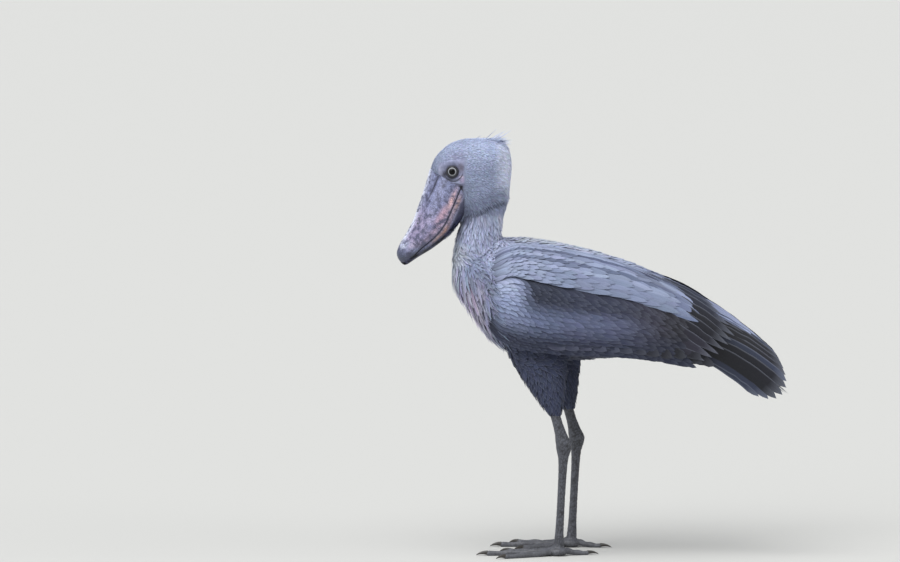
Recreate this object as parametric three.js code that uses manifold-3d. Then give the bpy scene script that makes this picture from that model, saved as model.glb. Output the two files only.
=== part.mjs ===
// A shoebill standing still, life size, in millimetres, +Z up.
// It faces -X and its left side is towards -Y. The origin is on the floor under the middle of its box.
import * as THREE from "three";
import { mergeVertices } from "three/addons/utils/BufferGeometryUtils.js";
import Module from "manifold-3d";

const wasm = await Module();
wasm.setup();

const GAP = 0.3; // left between two parts that meet
const SPECK = 0.05; // points closer than this are drawn together
const LEFT = -1;
const RIGHT = 1;
const DEG = Math.PI / 180;

// Torso: at each x, the height of its back and belly and half its breadth.
const TORSO = [
  [-290, 592, 565, 30],
  [-278, 612, 546, 52],
  [-258, 632, 517, 72],
  [-230, 650, 478, 90],
  [-200, 664, 443, 102],
  [-160, 667, 424, 111],
  [-110, 661, 413, 116],
  [-50, 648, 406, 117],
  [10, 632, 408, 114],
  [70, 613, 414, 106],
  [130, 586, 422, 93],
  [180, 556, 434, 78],
  [220, 526, 450, 63],
  [246, 503, 464, 50],
];
const TORSO_SQUARE = 2.4; // 2 is an ellipse, more is squarer

// Neck and head: at each height, the front and back of the section and half its breadth.
const NECK = [
  [520, -255, -120, 52],
  [560, -287, -150, 68],
  [580, -293, -172, 64],
  [600, -296, -184, 58],
  [625, -295, -190, 52],
  [650, -289, -188, 48],
  [675, -279, -186, 46],
  [700, -268, -183, 45],
  [722, -261, -179, 45],
  [750, -255, -176, 45],
];
const HEAD = [
  [717, -262, -184, 38],
  [728, -268, -178, 46],
  [745, -280, -175, 52],
  [765, -297, -171, 56],
  [785, -320, -169, 58.5],
  [805, -335, -167, 58.5],
  [822, -338, -166, 57],
  [840, -330, -167.5, 53],
  [857, -314, -173, 46],
  [869, -298, -186, 36],
  [877, -276, -203, 24],
  [881, -256, -222, 10],
];
const HEAD_SQUARE = 2.15;
const NECK_CUT = { x: -293, z: 579, toX: -186, toZ: 674 }; // where the neck meets the shoulders
const THROAT_CUT = { x: -264, z: 716, toX: -186, toZ: 748 }; // under the cheeks

// Bill: measured along its axis from the middle of its base, dorsal side up, ventral side down.
const BILL_BASE = { x: -301, z: 772 };
const BILL_PITCH = 55 * DEG; // below the horizontal
const BILL = [
  [-34, 62, -58, 44],
  [-13, 56.5, -60, 47],
  [10, 48.3, -61, 50],
  [50, 36, -60, 52],
  [75, 29, -57.5, 52],
  [100, 22.5, -51.5, 50],
  [125, 19.5, -43, 45],
  [148, 17.8, -33, 37],
  [163, 15.5, -27, 28],
  [174, 11, -23, 18],
  [181, 3, -20, 9],
  [185, -8, -16, 3],
];
const MOUTH = [
  [-60, -10],
  [-25, -17.6],
  [28, -29],
  [60, -35],
  [96, -33.5],
  [133, -24],
  [158, -21],
  [170, -18.5],
  [174, -30],
  [176, -60],
];
const MOUTH_SLIT = 1.4;
const RIDGE = { half: 9, rise: 8, grooveAt: 18, grooveHalf: 7, grooveDepth: 4.5 }; // keel along the culmen
const FACE_EDGE = [
  [-267, 560],
  [-267, 786],
  [-296, 791],
  [-320, 806],
  [-343, 818],
  [-380, 836],
  [-520, 836],
  [-520, 560],
]; // side outline of what is horn and not face
const BEFORE_THROAT = [
  [-262, 560],
  [-262, 800],
  [-520, 800],
  [-520, 560],
]; // side outline of the room that the bill keeps free in front of the neck

// Loose locks at the back of the crown: where they grow and how they lean, in four rows.
const CREST = [
  { x: -238, across: [9, -9], length: 32, rise: 24 },
  { x: -222, across: [0, 18, -18], length: 38, rise: 26 },
  { x: -205, across: [9, -9], length: 40, rise: 18 },
  { x: -190, across: [0, 15, -15], length: 34, rise: 6 },
];
const LOCK = { half: 5, thick: 1.8, sunk: 7 };
// Long pointed plumes hanging on the breast: x and z of the root, on both sides.
const PLUMES = [
  [-277, 588],
  [-270, 560],
  [-262, 612],
  [-257, 582],
  [-252, 548],
  [-240, 508],
];
const PLUME = { length: 66, fall: 68 * DEG, half: 10, thick: 2, lift: 5 };

const NOSTRIL = { from: 3, to: 25, half: 1.2, low: 27, high: 50 };
const EYE = { x: -293, z: 811, y: 42, radius: 13 };
const LID = { radius: 15.5, thick: 2.6 };

// Folded wing: the bed it lies on, at each x its top, bottom and half breadth.
const BED = [
  [-235, 640, 430, 92],
  [-160, 664, 380, 114],
  [-110, 660, 360, 119],
  [-50, 648, 350, 120],
  [10, 633, 344, 117],
  [70, 615, 338, 110],
  [130, 592, 326, 99],
  [190, 566, 308, 86],
  [250, 532, 288, 74],
  [310, 490, 262, 64],
  [370, 444, 232, 58],
  [430, 402, 205, 56],
];
const BED_SQUARE = 2.3;
// The arm under the coverts: at each x the angle round the bed of its upper edge, the heights of the
// lower edge of the scapulars and of its own lower edge, and its thickness.
const ARM = [
  [-226, 52, 560, 508, 5],
  [-208, 60, 584, 480, 10],
  [-160, 66, 594, 458, 14],
  [-110, 68, 584, 450, 16],
  [-50, 70, 572, 447, 17],
  [10, 71, 560, 444, 17],
  [70, 71, 548, 440, 16],
  [130, 71, 530, 432, 15],
  [180, 70, 514, 424, 13],
  [215, 69, 500, 416, 10],
  [330, 66, 440, 372, 5],
];
const ARM_END = 215;
// Feathers of the wing, as thick as their shafts, and how far a tip stands off the arm.
const SHAFT = 2;
const SUNK = 4;
const LIFT = 4.5;
const STAGGER = 1.7; // every other feather of a tier lies this much higher, over its neighbours' edges
// Tiers of coverts: where the roots are, how long and how wide, and how many one above another.
const COVERTS = [
  { x: -208, length: 58, half: 14, count: 3 },
  { x: -172, length: 74, half: 18, count: 3 },
  { x: -126, length: 92, half: 21, count: 3 },
  { x: -72, length: 108, half: 21, count: 3 },
  { x: -12, length: 122, half: 21, count: 3 },
  { x: 48, length: 128, half: 19, count: 3 },
  { x: 104, length: 130, half: 18, count: 3 },
];
const SCAPULARS = [
  { x: -188, length: 84, half: 17 },
  { x: -138, length: 104, half: 19 },
  { x: -80, length: 124, half: 20 },
  { x: -12, length: 142, half: 20 },
  { x: 60, length: 152, half: 20 },
];
const TERTIALS = [
  { x: 112, turn: 66, tipX: 266, tipTurn: 66, half: 15 },
  { x: 116, turn: 56, tipX: 290, tipTurn: 52, half: 15 },
  { x: 122, turn: 45, tipX: 304, tipTurn: 40, half: 15 },
  { x: 118, turn: 34, tipX: 288, tipTurn: 27, half: 14 },
];
const SECONDARIES = { count: 8, firstX: -30, lastX: 272, length: 128, fall: 26 * DEG, half: 17, below: 13 };
const PRIMARIES = { count: 8, half: 15.5, outermost: 8, step: 1.95, droop: 38 * DEG, bend: 88 };
// Where the tips of the first, a middle and the last primary lie.
const PRIMARY_TIPS = [
  [0, 324, 478],
  [3, 388, 426],
  [5, 410, 394],
  [7, 414, 354],
];

// Tail: its root under the rump, its tips, and its breadths.
const TAIL = { rootX: 236, rootZ: 480, tipX: 416, tipZ: 330, rootHalf: 46, thick: 28, blockEnd: 0.34 };
const RECTRIX = { pairs: 6, half: 15, rootStep: 5.4, tipFirst: 5, tipStep: 5.2, level: 2.2, thick: 1.7 };

// Legs: where each foot stands, its heights and thicknesses.
const FOOT = { left: { x: -68, y: -74 }, right: { x: -38, y: 74 } };
const PALM = { radius: 20, height: 21 };
const ANKLE = { back: 12, z: 236 };
const KNEE_LEAN = 0.3; // forward for each unit up, above the ankle
const INWARD = 0.0009; // share of the foot's y lost for each unit up, above the ankle
const FEATHER_LINE = 300; // where the feathered thigh begins
const THIGH_TOP = 470;
const TOES = [
  { name: "middle", turn: 0, length: 152, half: 8.6, claw: 22 },
  { name: "inner", turn: 26, length: 118, half: 7.8, claw: 20 },
  { name: "outer", turn: -25, length: 127, half: 7.8, claw: 19 },
  { name: "hind", turn: 168, length: 66, half: 7.4, claw: 22 },
];
const FLAT = 1.1; // how much of a round underside the floor takes off

const COLOUR = {
  head: 0xa3acc4,
  neck: 0x8f96ae,
  body: 0x6b7390,
  wing: 0x56607c,
  tail: 0x2c2f3c,
  bill: 0x8c87a3,
  leg: 0x3d3f45,
  claw: 0x23211f,
  eye: 0xb9b9b5,
};

// Values between rows [key, value, value, ...], smooth from row to row.
function between(rows, key) {
  const last = rows.length - 1;
  if (key <= rows[0][0]) return rows[0].slice(1);
  if (key >= rows[last][0]) return rows[last].slice(1);
  let i = 0;
  while (rows[i + 1][0] < key) i += 1;
  const [a, b] = [rows[i], rows[i + 1]];
  const before = i > 0 ? rows[i - 1] : a;
  const after = i + 2 <= last ? rows[i + 2] : b;
  const span = b[0] - a[0];
  const t = (key - a[0]) / span;
  return a.slice(1).map((value, n) => {
    const column = n + 1;
    const into = (span * (b[column] - before[column])) / (b[0] - before[0]);
    const outOf = (span * (after[column] - a[column])) / (after[0] - a[0]);
    const rise = b[column] - value;
    return value + t * (into + t * (3 * rise - 2 * into - outOf + t * (into + outOf - 2 * rise)));
  });
}

// One point of a rounded section of the given half breadths.
function rounded(angle, across, up, square) {
  const [c, s] = [Math.cos(angle), Math.sin(angle)];
  return [
    across * Math.sign(c) * Math.abs(c) ** (2 / square),
    up * Math.sign(s) * Math.abs(s) ** (2 / square),
  ];
}

// A closed surface as a solid, its faces pointing out.
function solid(geometry) {
  const bare = new THREE.BufferGeometry().setAttribute("position", geometry.getAttribute("position"));
  bare.setIndex(geometry.index);
  const merged = mergeVertices(bare, 1e-3);
  const corners = merged.index.array;
  const kept = [];
  for (let i = 0; i < corners.length; i += 3) {
    const [a, b, c] = [corners[i], corners[i + 1], corners[i + 2]];
    if (a !== b && b !== c && c !== a) kept.push(a, b, c);
  }
  const vertProperties = Float32Array.from(merged.getAttribute("position").array);
  const made = (triVerts) =>
    new wasm.Manifold(new wasm.Mesh({ numProp: 3, vertProperties, triVerts: Uint32Array.from(triVerts) }));
  const first = made(kept);
  return first.volume() > 0 ? first : made(kept.reverse());
}

// A closed cylinder whose every point is moved by place(t, angle, rim): t runs along it from 0 to 1,
// and rim is 1 on its wall and 0 at the middle of an end.
function tube(sides, steps, place) {
  const geometry = new THREE.CylinderGeometry(1, 1, 1, sides, steps);
  const position = geometry.getAttribute("position");
  for (let i = 0; i < position.count; i += 1) {
    const [x, y, z] = [position.getX(i), position.getY(i), position.getZ(i)];
    const point = place(0.5 - y, Math.atan2(x, z), Math.hypot(x, z));
    position.setXYZ(i, point.x, point.y, point.z);
  }
  return solid(geometry);
}

// A closed box whose every point is moved by place(u, v, w), each from 0 to 1.
function slab(stepsU, stepsV, place) {
  const geometry = new THREE.BoxGeometry(1, 1, 1, stepsU, stepsV, 1);
  const position = geometry.getAttribute("position");
  for (let i = 0; i < position.count; i += 1) {
    const point = place(position.getX(i) + 0.5, position.getY(i) + 0.5, position.getZ(i) + 0.5);
    position.setXYZ(i, point.x, point.y, point.z);
  }
  return solid(geometry);
}

// A side outline given in x and z, carried across the whole bird.
function prism(outline, half = 200) {
  const shape = new THREE.Shape(outline.map(([x, z]) => new THREE.Vector2(x, z)));
  const geometry = new THREE.ExtrudeGeometry(shape, { depth: 2 * half, bevelEnabled: false });
  geometry.rotateX(Math.PI / 2);
  geometry.translate(0, half, 0);
  geometry.setIndex([...Array(geometry.getAttribute("position").count).keys()]);
  return solid(geometry);
}

// All that lies on the upper side of a slanted cut, moved up by shift.
function above(cut, shift) {
  const run = new THREE.Vector2(cut.toX - cut.x, cut.toZ - cut.z).normalize();
  const up = new THREE.Vector2(-run.y, run.x);
  const far = 600;
  const corner = (along, high) => [
    cut.x + run.x * along + up.x * (high + shift),
    cut.z + run.y * along + up.y * (high + shift),
  ];
  return prism([corner(-far, 0), corner(far, 0), corner(far, far), corner(-far, far)]);
}

const largest = (shape) => shape.decompose().reduce((a, b) => (a.volume() > b.volume() ? a : b));

const torsoForm = (grow) =>
  tube(22, 13, (t, angle, rim) => {
    const [first, last] = [TORSO[0][0], TORSO[TORSO.length - 1][0]];
    const x = THREE.MathUtils.lerp(first - grow, last + grow, t);
    const [top, bottom, half] = between(TORSO, x);
    const [y, z] = rounded(angle, half + grow, (top - bottom) / 2 + grow, TORSO_SQUARE);
    return new THREE.Vector3(x, rim * y, (top + bottom) / 2 + rim * z);
  });

// A form given by front, back and half breadth at each height, such as the neck.
const upright = (rows, sides, steps, square) =>
  tube(sides, steps, (t, angle, rim) => {
    const height = THREE.MathUtils.lerp(rows[0][0], rows[rows.length - 1][0], t);
    const [front, back, half] = between(rows, height);
    const [x, y] = rounded(angle, (back - front) / 2, half, square);
    return new THREE.Vector3((front + back) / 2 + rim * x, rim * y, height);
  });

// A point of the bill from its own axes: along, dorsal and sideways.
function billPoint(along, dorsal, sideways) {
  const [c, s] = [Math.cos(BILL_PITCH), Math.sin(BILL_PITCH)];
  return new THREE.Vector3(BILL_BASE.x - c * along - s * dorsal, sideways, BILL_BASE.z - s * along + c * dorsal);
}

// Angles round the bill, closer together about the keel.
const BILL_ANGLES = [90, 80, 71, 63, 50, 33, 14, -6, -28, -52, -74];
function billForm() {
  const sides = 2 * BILL_ANGLES.length;
  const steps = 16;
  return tube(sides, steps, (t, turn, rim) => {
    const along = THREE.MathUtils.lerp(BILL[0][0], BILL[BILL.length - 1][0], 1 - (1 - t) ** 1.35);
    const [top, bottom, half] = between(BILL, along);
    const step = Math.round((turn / (2 * Math.PI)) * sides);
    const side = step < 0 ? -1 : 1;
    const place = Math.abs(step) === BILL_ANGLES.length ? -90 : BILL_ANGLES[Math.abs(step)];
    const middle = top - 0.56 * (top - bottom);
    const angle = place * DEG;
    const reach = angle > 0 ? top - middle : middle - bottom;
    const [across, up] = rounded(angle, half, reach, angle > 0 ? 2.2 : 2.5);
    const keel = RIDGE.rise * Math.exp(-((across / RIDGE.half) ** 2));
    const groove = RIDGE.grooveDepth * Math.exp(-(((across - RIDGE.grooveAt) / RIDGE.grooveHalf) ** 2));
    const fade = angle > 0 ? THREE.MathUtils.smoothstep(half, 14, 40) : 0;
    const dorsal = middle + up - fade * (RIDGE.rise - keel + groove) * Math.sin(angle);
    return billPoint(along, rim ? dorsal : middle, side * across * rim);
  });
}

// The mouth: a thin slit along the bill that drops in front of the lower half.
function mouthSlit() {
  const edge = (shift) => MOUTH.map(([along, dorsal]) => {
    const past = THREE.MathUtils.clamp((along - 168) / 6, 0, 1);
    const point = billPoint(along + past * shift, dorsal + (1 - past) * shift, 0);
    return [point.x, point.z];
  });
  return prism([...edge(MOUTH_SLIT / 2), ...edge(-MOUTH_SLIT / 2).reverse()]);
}

function nostril(side) {
  const { from, to, half, low, high } = NOSTRIL;
  return slab(1, 1, (u, v, w) => {
    const along = THREE.MathUtils.lerp(from, to, u);
    const taper = 1 - 0.5 * u;
    return billPoint(along, THREE.MathUtils.lerp(low, high, w), side * (RIDGE.grooveAt + (v - 0.5) * 2 * half * taper));
  });
}

// A point over a bed such as the folded wing lies on, given by its x, its turn round the bed in degrees
// up from the widest place, and its distance out from the bed.
function overBed(rows, square, x, turn, out, side) {
  const [top, bottom, half] = between(rows, x);
  const [middle, high] = [(top + bottom) / 2, (top - bottom) / 2];
  const [across, up] = rounded(THREE.MathUtils.clamp(turn, -85, 85) * DEG, half, high, square);
  const steep = (value, reach) => (Math.sign(value) * (Math.abs(value) / reach) ** (square - 1)) / reach;
  const normal = new THREE.Vector2(steep(across, half), steep(up, high)).normalize();
  return new THREE.Vector3(x, side * (across + out * normal.x), middle + up + out * normal.y);
}

// The turn round a bed at which it has the given height.
function turnAt(rows, square, x, z) {
  const [top, bottom] = between(rows, x);
  const rise = THREE.MathUtils.clamp((2 * z - top - bottom) / (top - bottom), -0.98, 0.98);
  return Math.asin(Math.sign(rise) * Math.abs(rise) ** (square / 2)) / DEG;
}

const onWing = (x, turn, out, side) => overBed(BED, BED_SQUARE, x, turn, out, side);
const onTorso = (x, turn, out, side) => overBed(TORSO, TORSO_SQUARE, x, turn, out, side);
const wingTurn = (x, z) => turnAt(BED, BED_SQUARE, x, z);

// Turns of the arm's lower edge, of the scapulars' lower edge and of its upper edge.
function armTurns(x) {
  const [upper, scapular, lower] = between(ARM, x);
  return [wingTurn(x, lower), wingTurn(x, scapular), upper];
}

// How far the arm's outer face stands off the bed.
function armOut(x, turn) {
  const [lower, , upper] = armTurns(x);
  const v = THREE.MathUtils.clamp((turn - lower) / (upper - lower), 0, 1);
  return between(ARM, x)[3] * (0.4 + 0.6 * (1 - Math.abs(2 * v - 1) ** 4));
}

function armForm(side, inner, outer, lowered) {
  return slab(12, 6, (u, v, w) => {
    const x = THREE.MathUtils.lerp(ARM[0][0], ARM_END, u);
    const [lower, , upper] = armTurns(x);
    const turn = THREE.MathUtils.lerp(lower - lowered, upper, v);
    return onWing(x, turn, w > 0.5 ? outer(x, turn) : inner, side);
  });
}

// Share of the length, and share of the breadth there, from a feather's root to its tip.
const ROUND_TIP = [[0, 0.5], [0.4, 1], [0.82, 0.86], [1, 0.12]];
const LONG_TIP = [[0, 0.45], [0.35, 0.95], [0.82, 0.85], [1, 0.12]];
const CURVED_TIP = [[0, 0.45], [0.3, 0.9], [0.6, 1], [0.87, 0.8], [1, 0.12]];
const POINTED = [[0, 0.4], [0.45, 1], [0.8, 0.55], [1, 0.06]];

// A feather or lock: a PlaneGeometry three points wide on both faces alike, thick along the shaft
// and thin at its edges. at(t) is a point of the shaft and upAt(t) the way its upper face looks.
function vane(rows, half, thick, at, upAt) {
  const grid = new THREE.PlaneGeometry(2, 1, 2, rows.length - 1);
  const position = grid.getAttribute("position");
  const points = [];
  for (const face of [1, -1]) {
    for (let i = 0; i < position.count; i += 1) {
      const across = position.getX(i);
      const [t, breadth] = rows[Math.floor(i / 3)];
      const up = upAt(t);
      const along = at(Math.min(t + 0.05, 1)).sub(at(Math.max(t - 0.05, 0)));
      const sideways = along.cross(up).normalize();
      const shaft = across === 0 && t < 1 ? (face * thick) / 2 : 0;
      const point = at(t).addScaledVector(sideways, across * half * breadth).addScaledVector(up, shaft);
      points.push(point.x, point.y, point.z);
    }
  }
  const upper = [...grid.index.array];
  const lower = upper.map((corner) => corner + position.count).reverse();
  const middle = 1 + position.count;
  const geometry = new THREE.BufferGeometry();
  geometry.setAttribute("position", new THREE.Float32BufferAttribute(points, 3));
  geometry.setIndex([...upper, ...lower, 0, 1, middle, 1, 2, middle]);
  return solid(geometry);
}

// A feather that lies over a bed: path runs in x and turn, out(t, x, turn) is its height over the bed.
function lying(bed, side, path, out, rows, half, thick) {
  const at = (t) => {
    const place = path.getPoint(t);
    return bed(place.x, place.y, out(t, place.x, place.y), side);
  };
  const upAt = (t) => {
    const place = path.getPoint(t);
    return bed(place.x, place.y, 1, side).sub(bed(place.x, place.y, 0, side)).normalize();
  };
  return vane(rows, half, thick, at, upAt);
}

// Paths over a bed, in x and turn: straight, and bent by a middle point.
const straight = (x0, turn0, x1, turn1) =>
  new THREE.LineCurve(new THREE.Vector2(x0, turn0), new THREE.Vector2(x1, turn1));
const bent = (x0, turn0, x1, turn1, x2, turn2) =>
  new THREE.QuadraticBezierCurve(
    new THREE.Vector2(x0, turn0),
    new THREE.Vector2(x1, turn1),
    new THREE.Vector2(x2, turn2),
  );

// Rises from below the arm's face at the root to a little above it at the tip.
const shingle = (extra) => (t, x, turn) => armOut(x, turn) - SUNK + (SUNK + LIFT + extra) * t;

function covertVanes(side) {
  const vanes = [];
  COVERTS.forEach(({ x, length, half, count }, tier) => {
    for (let row = 0; row < count; row += 1) {
      const share = (row + (tier % 2 ? 0.6 : 0.2)) / count;
      const turnOf = (at, down) => {
        const [lower, scapular] = armTurns(at);
        return THREE.MathUtils.lerp(lower, scapular, share) - down;
      };
      const tipX = x + length * 0.95;
      const path = straight(x, turnOf(x, -2), tipX, turnOf(tipX, 5));
      vanes.push(lying(onWing, side, path, shingle(STAGGER * (row % 2)), ROUND_TIP, half, SHAFT));
    }
  });
  return vanes;
}

function scapularVanes(side) {
  const vanes = [];
  SCAPULARS.forEach(({ x, length, half }, tier) => {
    const shares = tier % 2 ? [0.2, 0.55, 0.9] : [0.05, 0.38, 0.72];
    for (const [row, share] of shares.entries()) {
      const turnOf = (at) => THREE.MathUtils.lerp(armTurns(at)[1], armTurns(at)[2], share);
      const path = straight(x, turnOf(x), x + length, turnOf(x + length) - 2);
      vanes.push(lying(onWing, side, path, shingle(4 + STAGGER * (row % 2)), ROUND_TIP, half, SHAFT));
    }
  });
  return vanes;
}

function tertialVanes(side) {
  return TERTIALS.map(({ x, turn, tipX, tipTurn, half }, i) => {
    const path = straight(x, turn, tipX, tipTurn);
    const out = (t) => armOut(x, turn) - SUNK + 9 * t ** 0.6 - 2.2 * i * t;
    return lying(onWing, side, path, out, LONG_TIP, half, SHAFT);
  });
}

function secondaryVanes(side) {
  const { count, firstX, lastX, length, fall, half, below } = SECONDARIES;
  return Array.from({ length: count }, (_, i) => {
    const tipX = THREE.MathUtils.lerp(firstX, lastX, i / (count - 1));
    const tipZ = between(ARM, tipX)[2] - below;
    const rootX = tipX - length * Math.cos(fall);
    const path = straight(rootX, wingTurn(rootX, tipZ + length * Math.sin(fall)), tipX, wingTurn(tipX, tipZ));
    return lying(onWing, side, path, (t) => 1 + 3 * t + 0.5 * (i % 2), LONG_TIP, half, SHAFT);
  });
}

function primaryVanes(side) {
  const { count, half, outermost, step, droop, bend } = PRIMARIES;
  return Array.from({ length: count }, (_, i) => {
    const [tipX, tipZ] = between(PRIMARY_TIPS, i);
    const share = i / (count - 1);
    const rootX = THREE.MathUtils.lerp(128, 186, share);
    const rootZ = THREE.MathUtils.lerp(556, 440, share);
    const [bendX, bendZ] = [tipX - bend * Math.cos(droop), tipZ + bend * Math.sin(droop)];
    const turns = [wingTurn(rootX, rootZ), wingTurn(bendX, bendZ), wingTurn(tipX, tipZ)];
    const path = bent(rootX, turns[0], bendX, turns[1], tipX, turns[2]);
    return lying(onWing, side, path, () => outermost - step * i, CURVED_TIP, half, SHAFT - 0.3);
  });
}

// The root block of the tail and, at t from 0 to 1 along it, its middle line and upward direction.
const TAIL_RUN = new THREE.Vector3(TAIL.tipX - TAIL.rootX, 0, TAIL.tipZ - TAIL.rootZ);
const TAIL_UP = new THREE.Vector3(-TAIL_RUN.z, 0, TAIL_RUN.x).normalize();
const onTail = (t, y, up) =>
  new THREE.Vector3(TAIL.rootX, y, TAIL.rootZ).addScaledVector(TAIL_RUN, t).addScaledVector(TAIL_UP, up);

function tailForm() {
  const block = tube(14, 4, (t, angle, rim) => {
    const taper = 1 - 0.45 * t ** 2;
    const [y, z] = rounded(angle, TAIL.rootHalf * (1 - 0.18 * t), (TAIL.thick / 2) * taper, 2.6);
    return onTail(TAIL.blockEnd * t, rim * y, rim * z);
  });
  const { pairs, half, rootStep, tipFirst, tipStep, level, thick } = RECTRIX;
  const blades = [];
  for (let pair = 0; pair < pairs; pair += 1) {
    for (const side of [LEFT, RIGHT]) {
      const high = level * (pairs - 0.5 - (2 * pair + (side === RIGHT ? 1 : 0)));
      const rootY = side * rootStep * (pair + 0.6);
      const tipY = side * (tipFirst + tipStep * pair);
      const at = (t) => onTail(0.1 + (0.9 - 0.012 * pair) * t, THREE.MathUtils.lerp(rootY, tipY, t), high * (1 - 0.25 * t));
      blades.push(vane(LONG_TIP, half, thick, at, () => TAIL_UP));
    }
  }
  return fuse(block, blades);
}

// Joins feathers to the form that they grow from.
const fuse = (form, pieces) => pieces.reduce((whole, piece) => whole.add(piece), form);

// The height of the crown over a point of the head's plan.
function crownAt(x, y) {
  let height = HEAD[HEAD.length - 1][0];
  const inside = (z) => {
    const [front, back, half] = between(HEAD, z);
    return ((2 * x - front - back) / (back - front)) ** 2 + (y / half) ** 2 < 1;
  };
  while (!inside(height)) height -= 1;
  return height;
}

function crestLocks() {
  const locks = [];
  CREST.forEach(({ x, across, length, rise }, row) => {
    for (const [i, y] of across.entries()) {
      const lean = rise + 7 * Math.sin(5 * i + 3 * row);
      const reach = length * (1 + 0.14 * Math.sin(7 * i + 2 * row));
      const root = new THREE.Vector3(x, y, crownAt(x, y) - LOCK.sunk);
      const ahead = new THREE.Vector3(0.82, y * 0.012, 0.55).multiplyScalar(reach);
      const at = (t) =>
        root.clone().addScaledVector(ahead, t).add(new THREE.Vector3(0, 0, (lean - 26) * 0.5 * t - 9 * t * t));
      locks.push(vane(POINTED, LOCK.half, LOCK.thick, at, () => new THREE.Vector3(-0.5, 0.15 * Math.sign(y), 0.85)));
    }
  });
  return locks;
}

function plumeVanes(side) {
  const turnOf = (x, z) => turnAt(TORSO, TORSO_SQUARE, x, z);
  return PLUMES.map(([x, z], i) => {
    const reach = PLUME.length * (1 + 0.12 * Math.sin(4 * i));
    const [tipX, tipZ] = [x + reach * Math.cos(PLUME.fall), z - reach * Math.sin(PLUME.fall)];
    const path = straight(x, turnOf(x, z), tipX, turnOf(tipX, tipZ));
    return lying(onTorso, side, path, (t) => -3 + (3 + PLUME.lift) * t, POINTED, PLUME.half, PLUME.thick);
  });
}

// The leg's middle line: up the shank, then leaning forward above the ankle.
function legLine(foot, z) {
  const ankleX = foot.x + ANKLE.back;
  if (z < ANKLE.z) return new THREE.Vector3(THREE.MathUtils.lerp(foot.x, ankleX, z / ANKLE.z), foot.y, z);
  const lean = (z - ANKLE.z) * KNEE_LEAN;
  return new THREE.Vector3(ankleX - lean, foot.y * (1 - INWARD * (z - ANKLE.z)), z);
}

const SHANK = [
  [8, 11, 12],
  [24, 10.5, 11],
  [60, 8.6, 8.2],
  [150, 8.4, 8],
  [205, 10.5, 10],
  [228, 16, 13.5],
  [240, 16.5, 14],
  [256, 13, 12],
  [280, 11, 10.5],
  [FEATHER_LINE - GAP, 11.5, 11],
];
const THIGH = [
  [FEATHER_LINE, 17, 16],
  [320, 26, 21],
  [345, 37, 27],
  [375, 49, 32],
  [405, 60, 34],
  [THIGH_TOP, 70, 34],
];

const limb = (rows, foot, sides, steps) =>
  tube(sides, steps, (t, angle, rim) => {
    const z = THREE.MathUtils.lerp(rows[0][0], rows[rows.length - 1][0], t);
    const [deep, half] = between(rows, z);
    const middle = legLine(foot, z);
    return new THREE.Vector3(middle.x + rim * deep * Math.cos(angle), middle.y + rim * half * Math.sin(angle), z);
  });

const floorCut = () =>
  slab(1, 1, (u, v, w) => new THREE.Vector3((u - 0.5) * 1200, (v - 0.5) * 600, (w - 1) * 60));

function palm(foot, grow) {
  return tube(10, 6, (t, angle) => {
    const around = Math.sin(Math.PI * t);
    return new THREE.Vector3(
      foot.x + (PALM.radius + grow) * around * Math.cos(angle),
      foot.y + (PALM.radius + grow) * around * Math.sin(angle),
      PALM.height / 2 - 1 - (PALM.height / 2 + grow) * Math.cos(Math.PI * t),
    );
  });
}

// One toe lying on the floor, with a swelling at each joint.
function toeForm(foot, side, toe, grow) {
  const turn = side * toe.turn * DEG;
  const start = 8;
  return tube(7, 6, (t, angle, rim) => {
    const reach = THREE.MathUtils.lerp(start, toe.length, t);
    const knuckle = 1 + 0.09 * Math.cos((2 * Math.PI * 3 * reach) / toe.length);
    const half = toe.half * (1 - 0.36 * t) * knuckle + grow;
    const lift = Math.max(0, 1 - reach / 45) * 7;
    const across = rim * half * Math.cos(angle);
    return new THREE.Vector3(
      foot.x - Math.cos(turn) * reach + Math.sin(turn) * across,
      foot.y - Math.sin(turn) * reach - Math.cos(turn) * across,
      half - grow - FLAT + lift + rim * half * Math.sin(angle),
    );
  });
}

// The claw past a toe's end, curving down to the floor.
function clawForm(foot, side, toe) {
  const turn = side * toe.turn * DEG;
  const root = toe.half * 0.64 * 1.09;
  return tube(5, 4, (t, angle, rim) => {
    const reach = toe.length + GAP + toe.claw * t;
    const half = root * 0.78 * (1 - t) ** 0.7 + 0.25;
    const middle = (root - FLAT + 1.2) * (1 - t) ** 0.6 + 0.9 * t + 1.6 * Math.sin(Math.PI * t);
    const across = rim * half * 0.8 * Math.cos(angle);
    return new THREE.Vector3(
      foot.x - Math.cos(turn) * reach + Math.sin(turn) * across,
      foot.y - Math.sin(turn) * reach - Math.cos(turn) * across,
      Math.max(0, middle + rim * half * Math.sin(angle)),
    );
  });
}

function ball(radius, x, y, z, across = 12, high = 8) {
  const geometry = new THREE.SphereGeometry(radius, across, high);
  geometry.translate(x, y, z);
  return solid(geometry);
}

// A ring of skin round the eye.
function lidRing(side) {
  const profile = new THREE.EllipseCurve(LID.radius, 0, LID.thick, LID.thick * 1.6, 0, 2 * Math.PI);
  const points = profile.getPoints(4);
  points[points.length - 1] = points[0].clone();
  const geometry = new THREE.LatheGeometry(points, 12);
  geometry.rotateZ(side * -0.28);
  geometry.translate(EYE.x - 1.5, side * (EYE.y + 8.5), EYE.z);
  return solid(geometry);
}

const bird = new THREE.Group();
const sideName = (side) => (side === LEFT ? "left" : "right");

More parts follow.
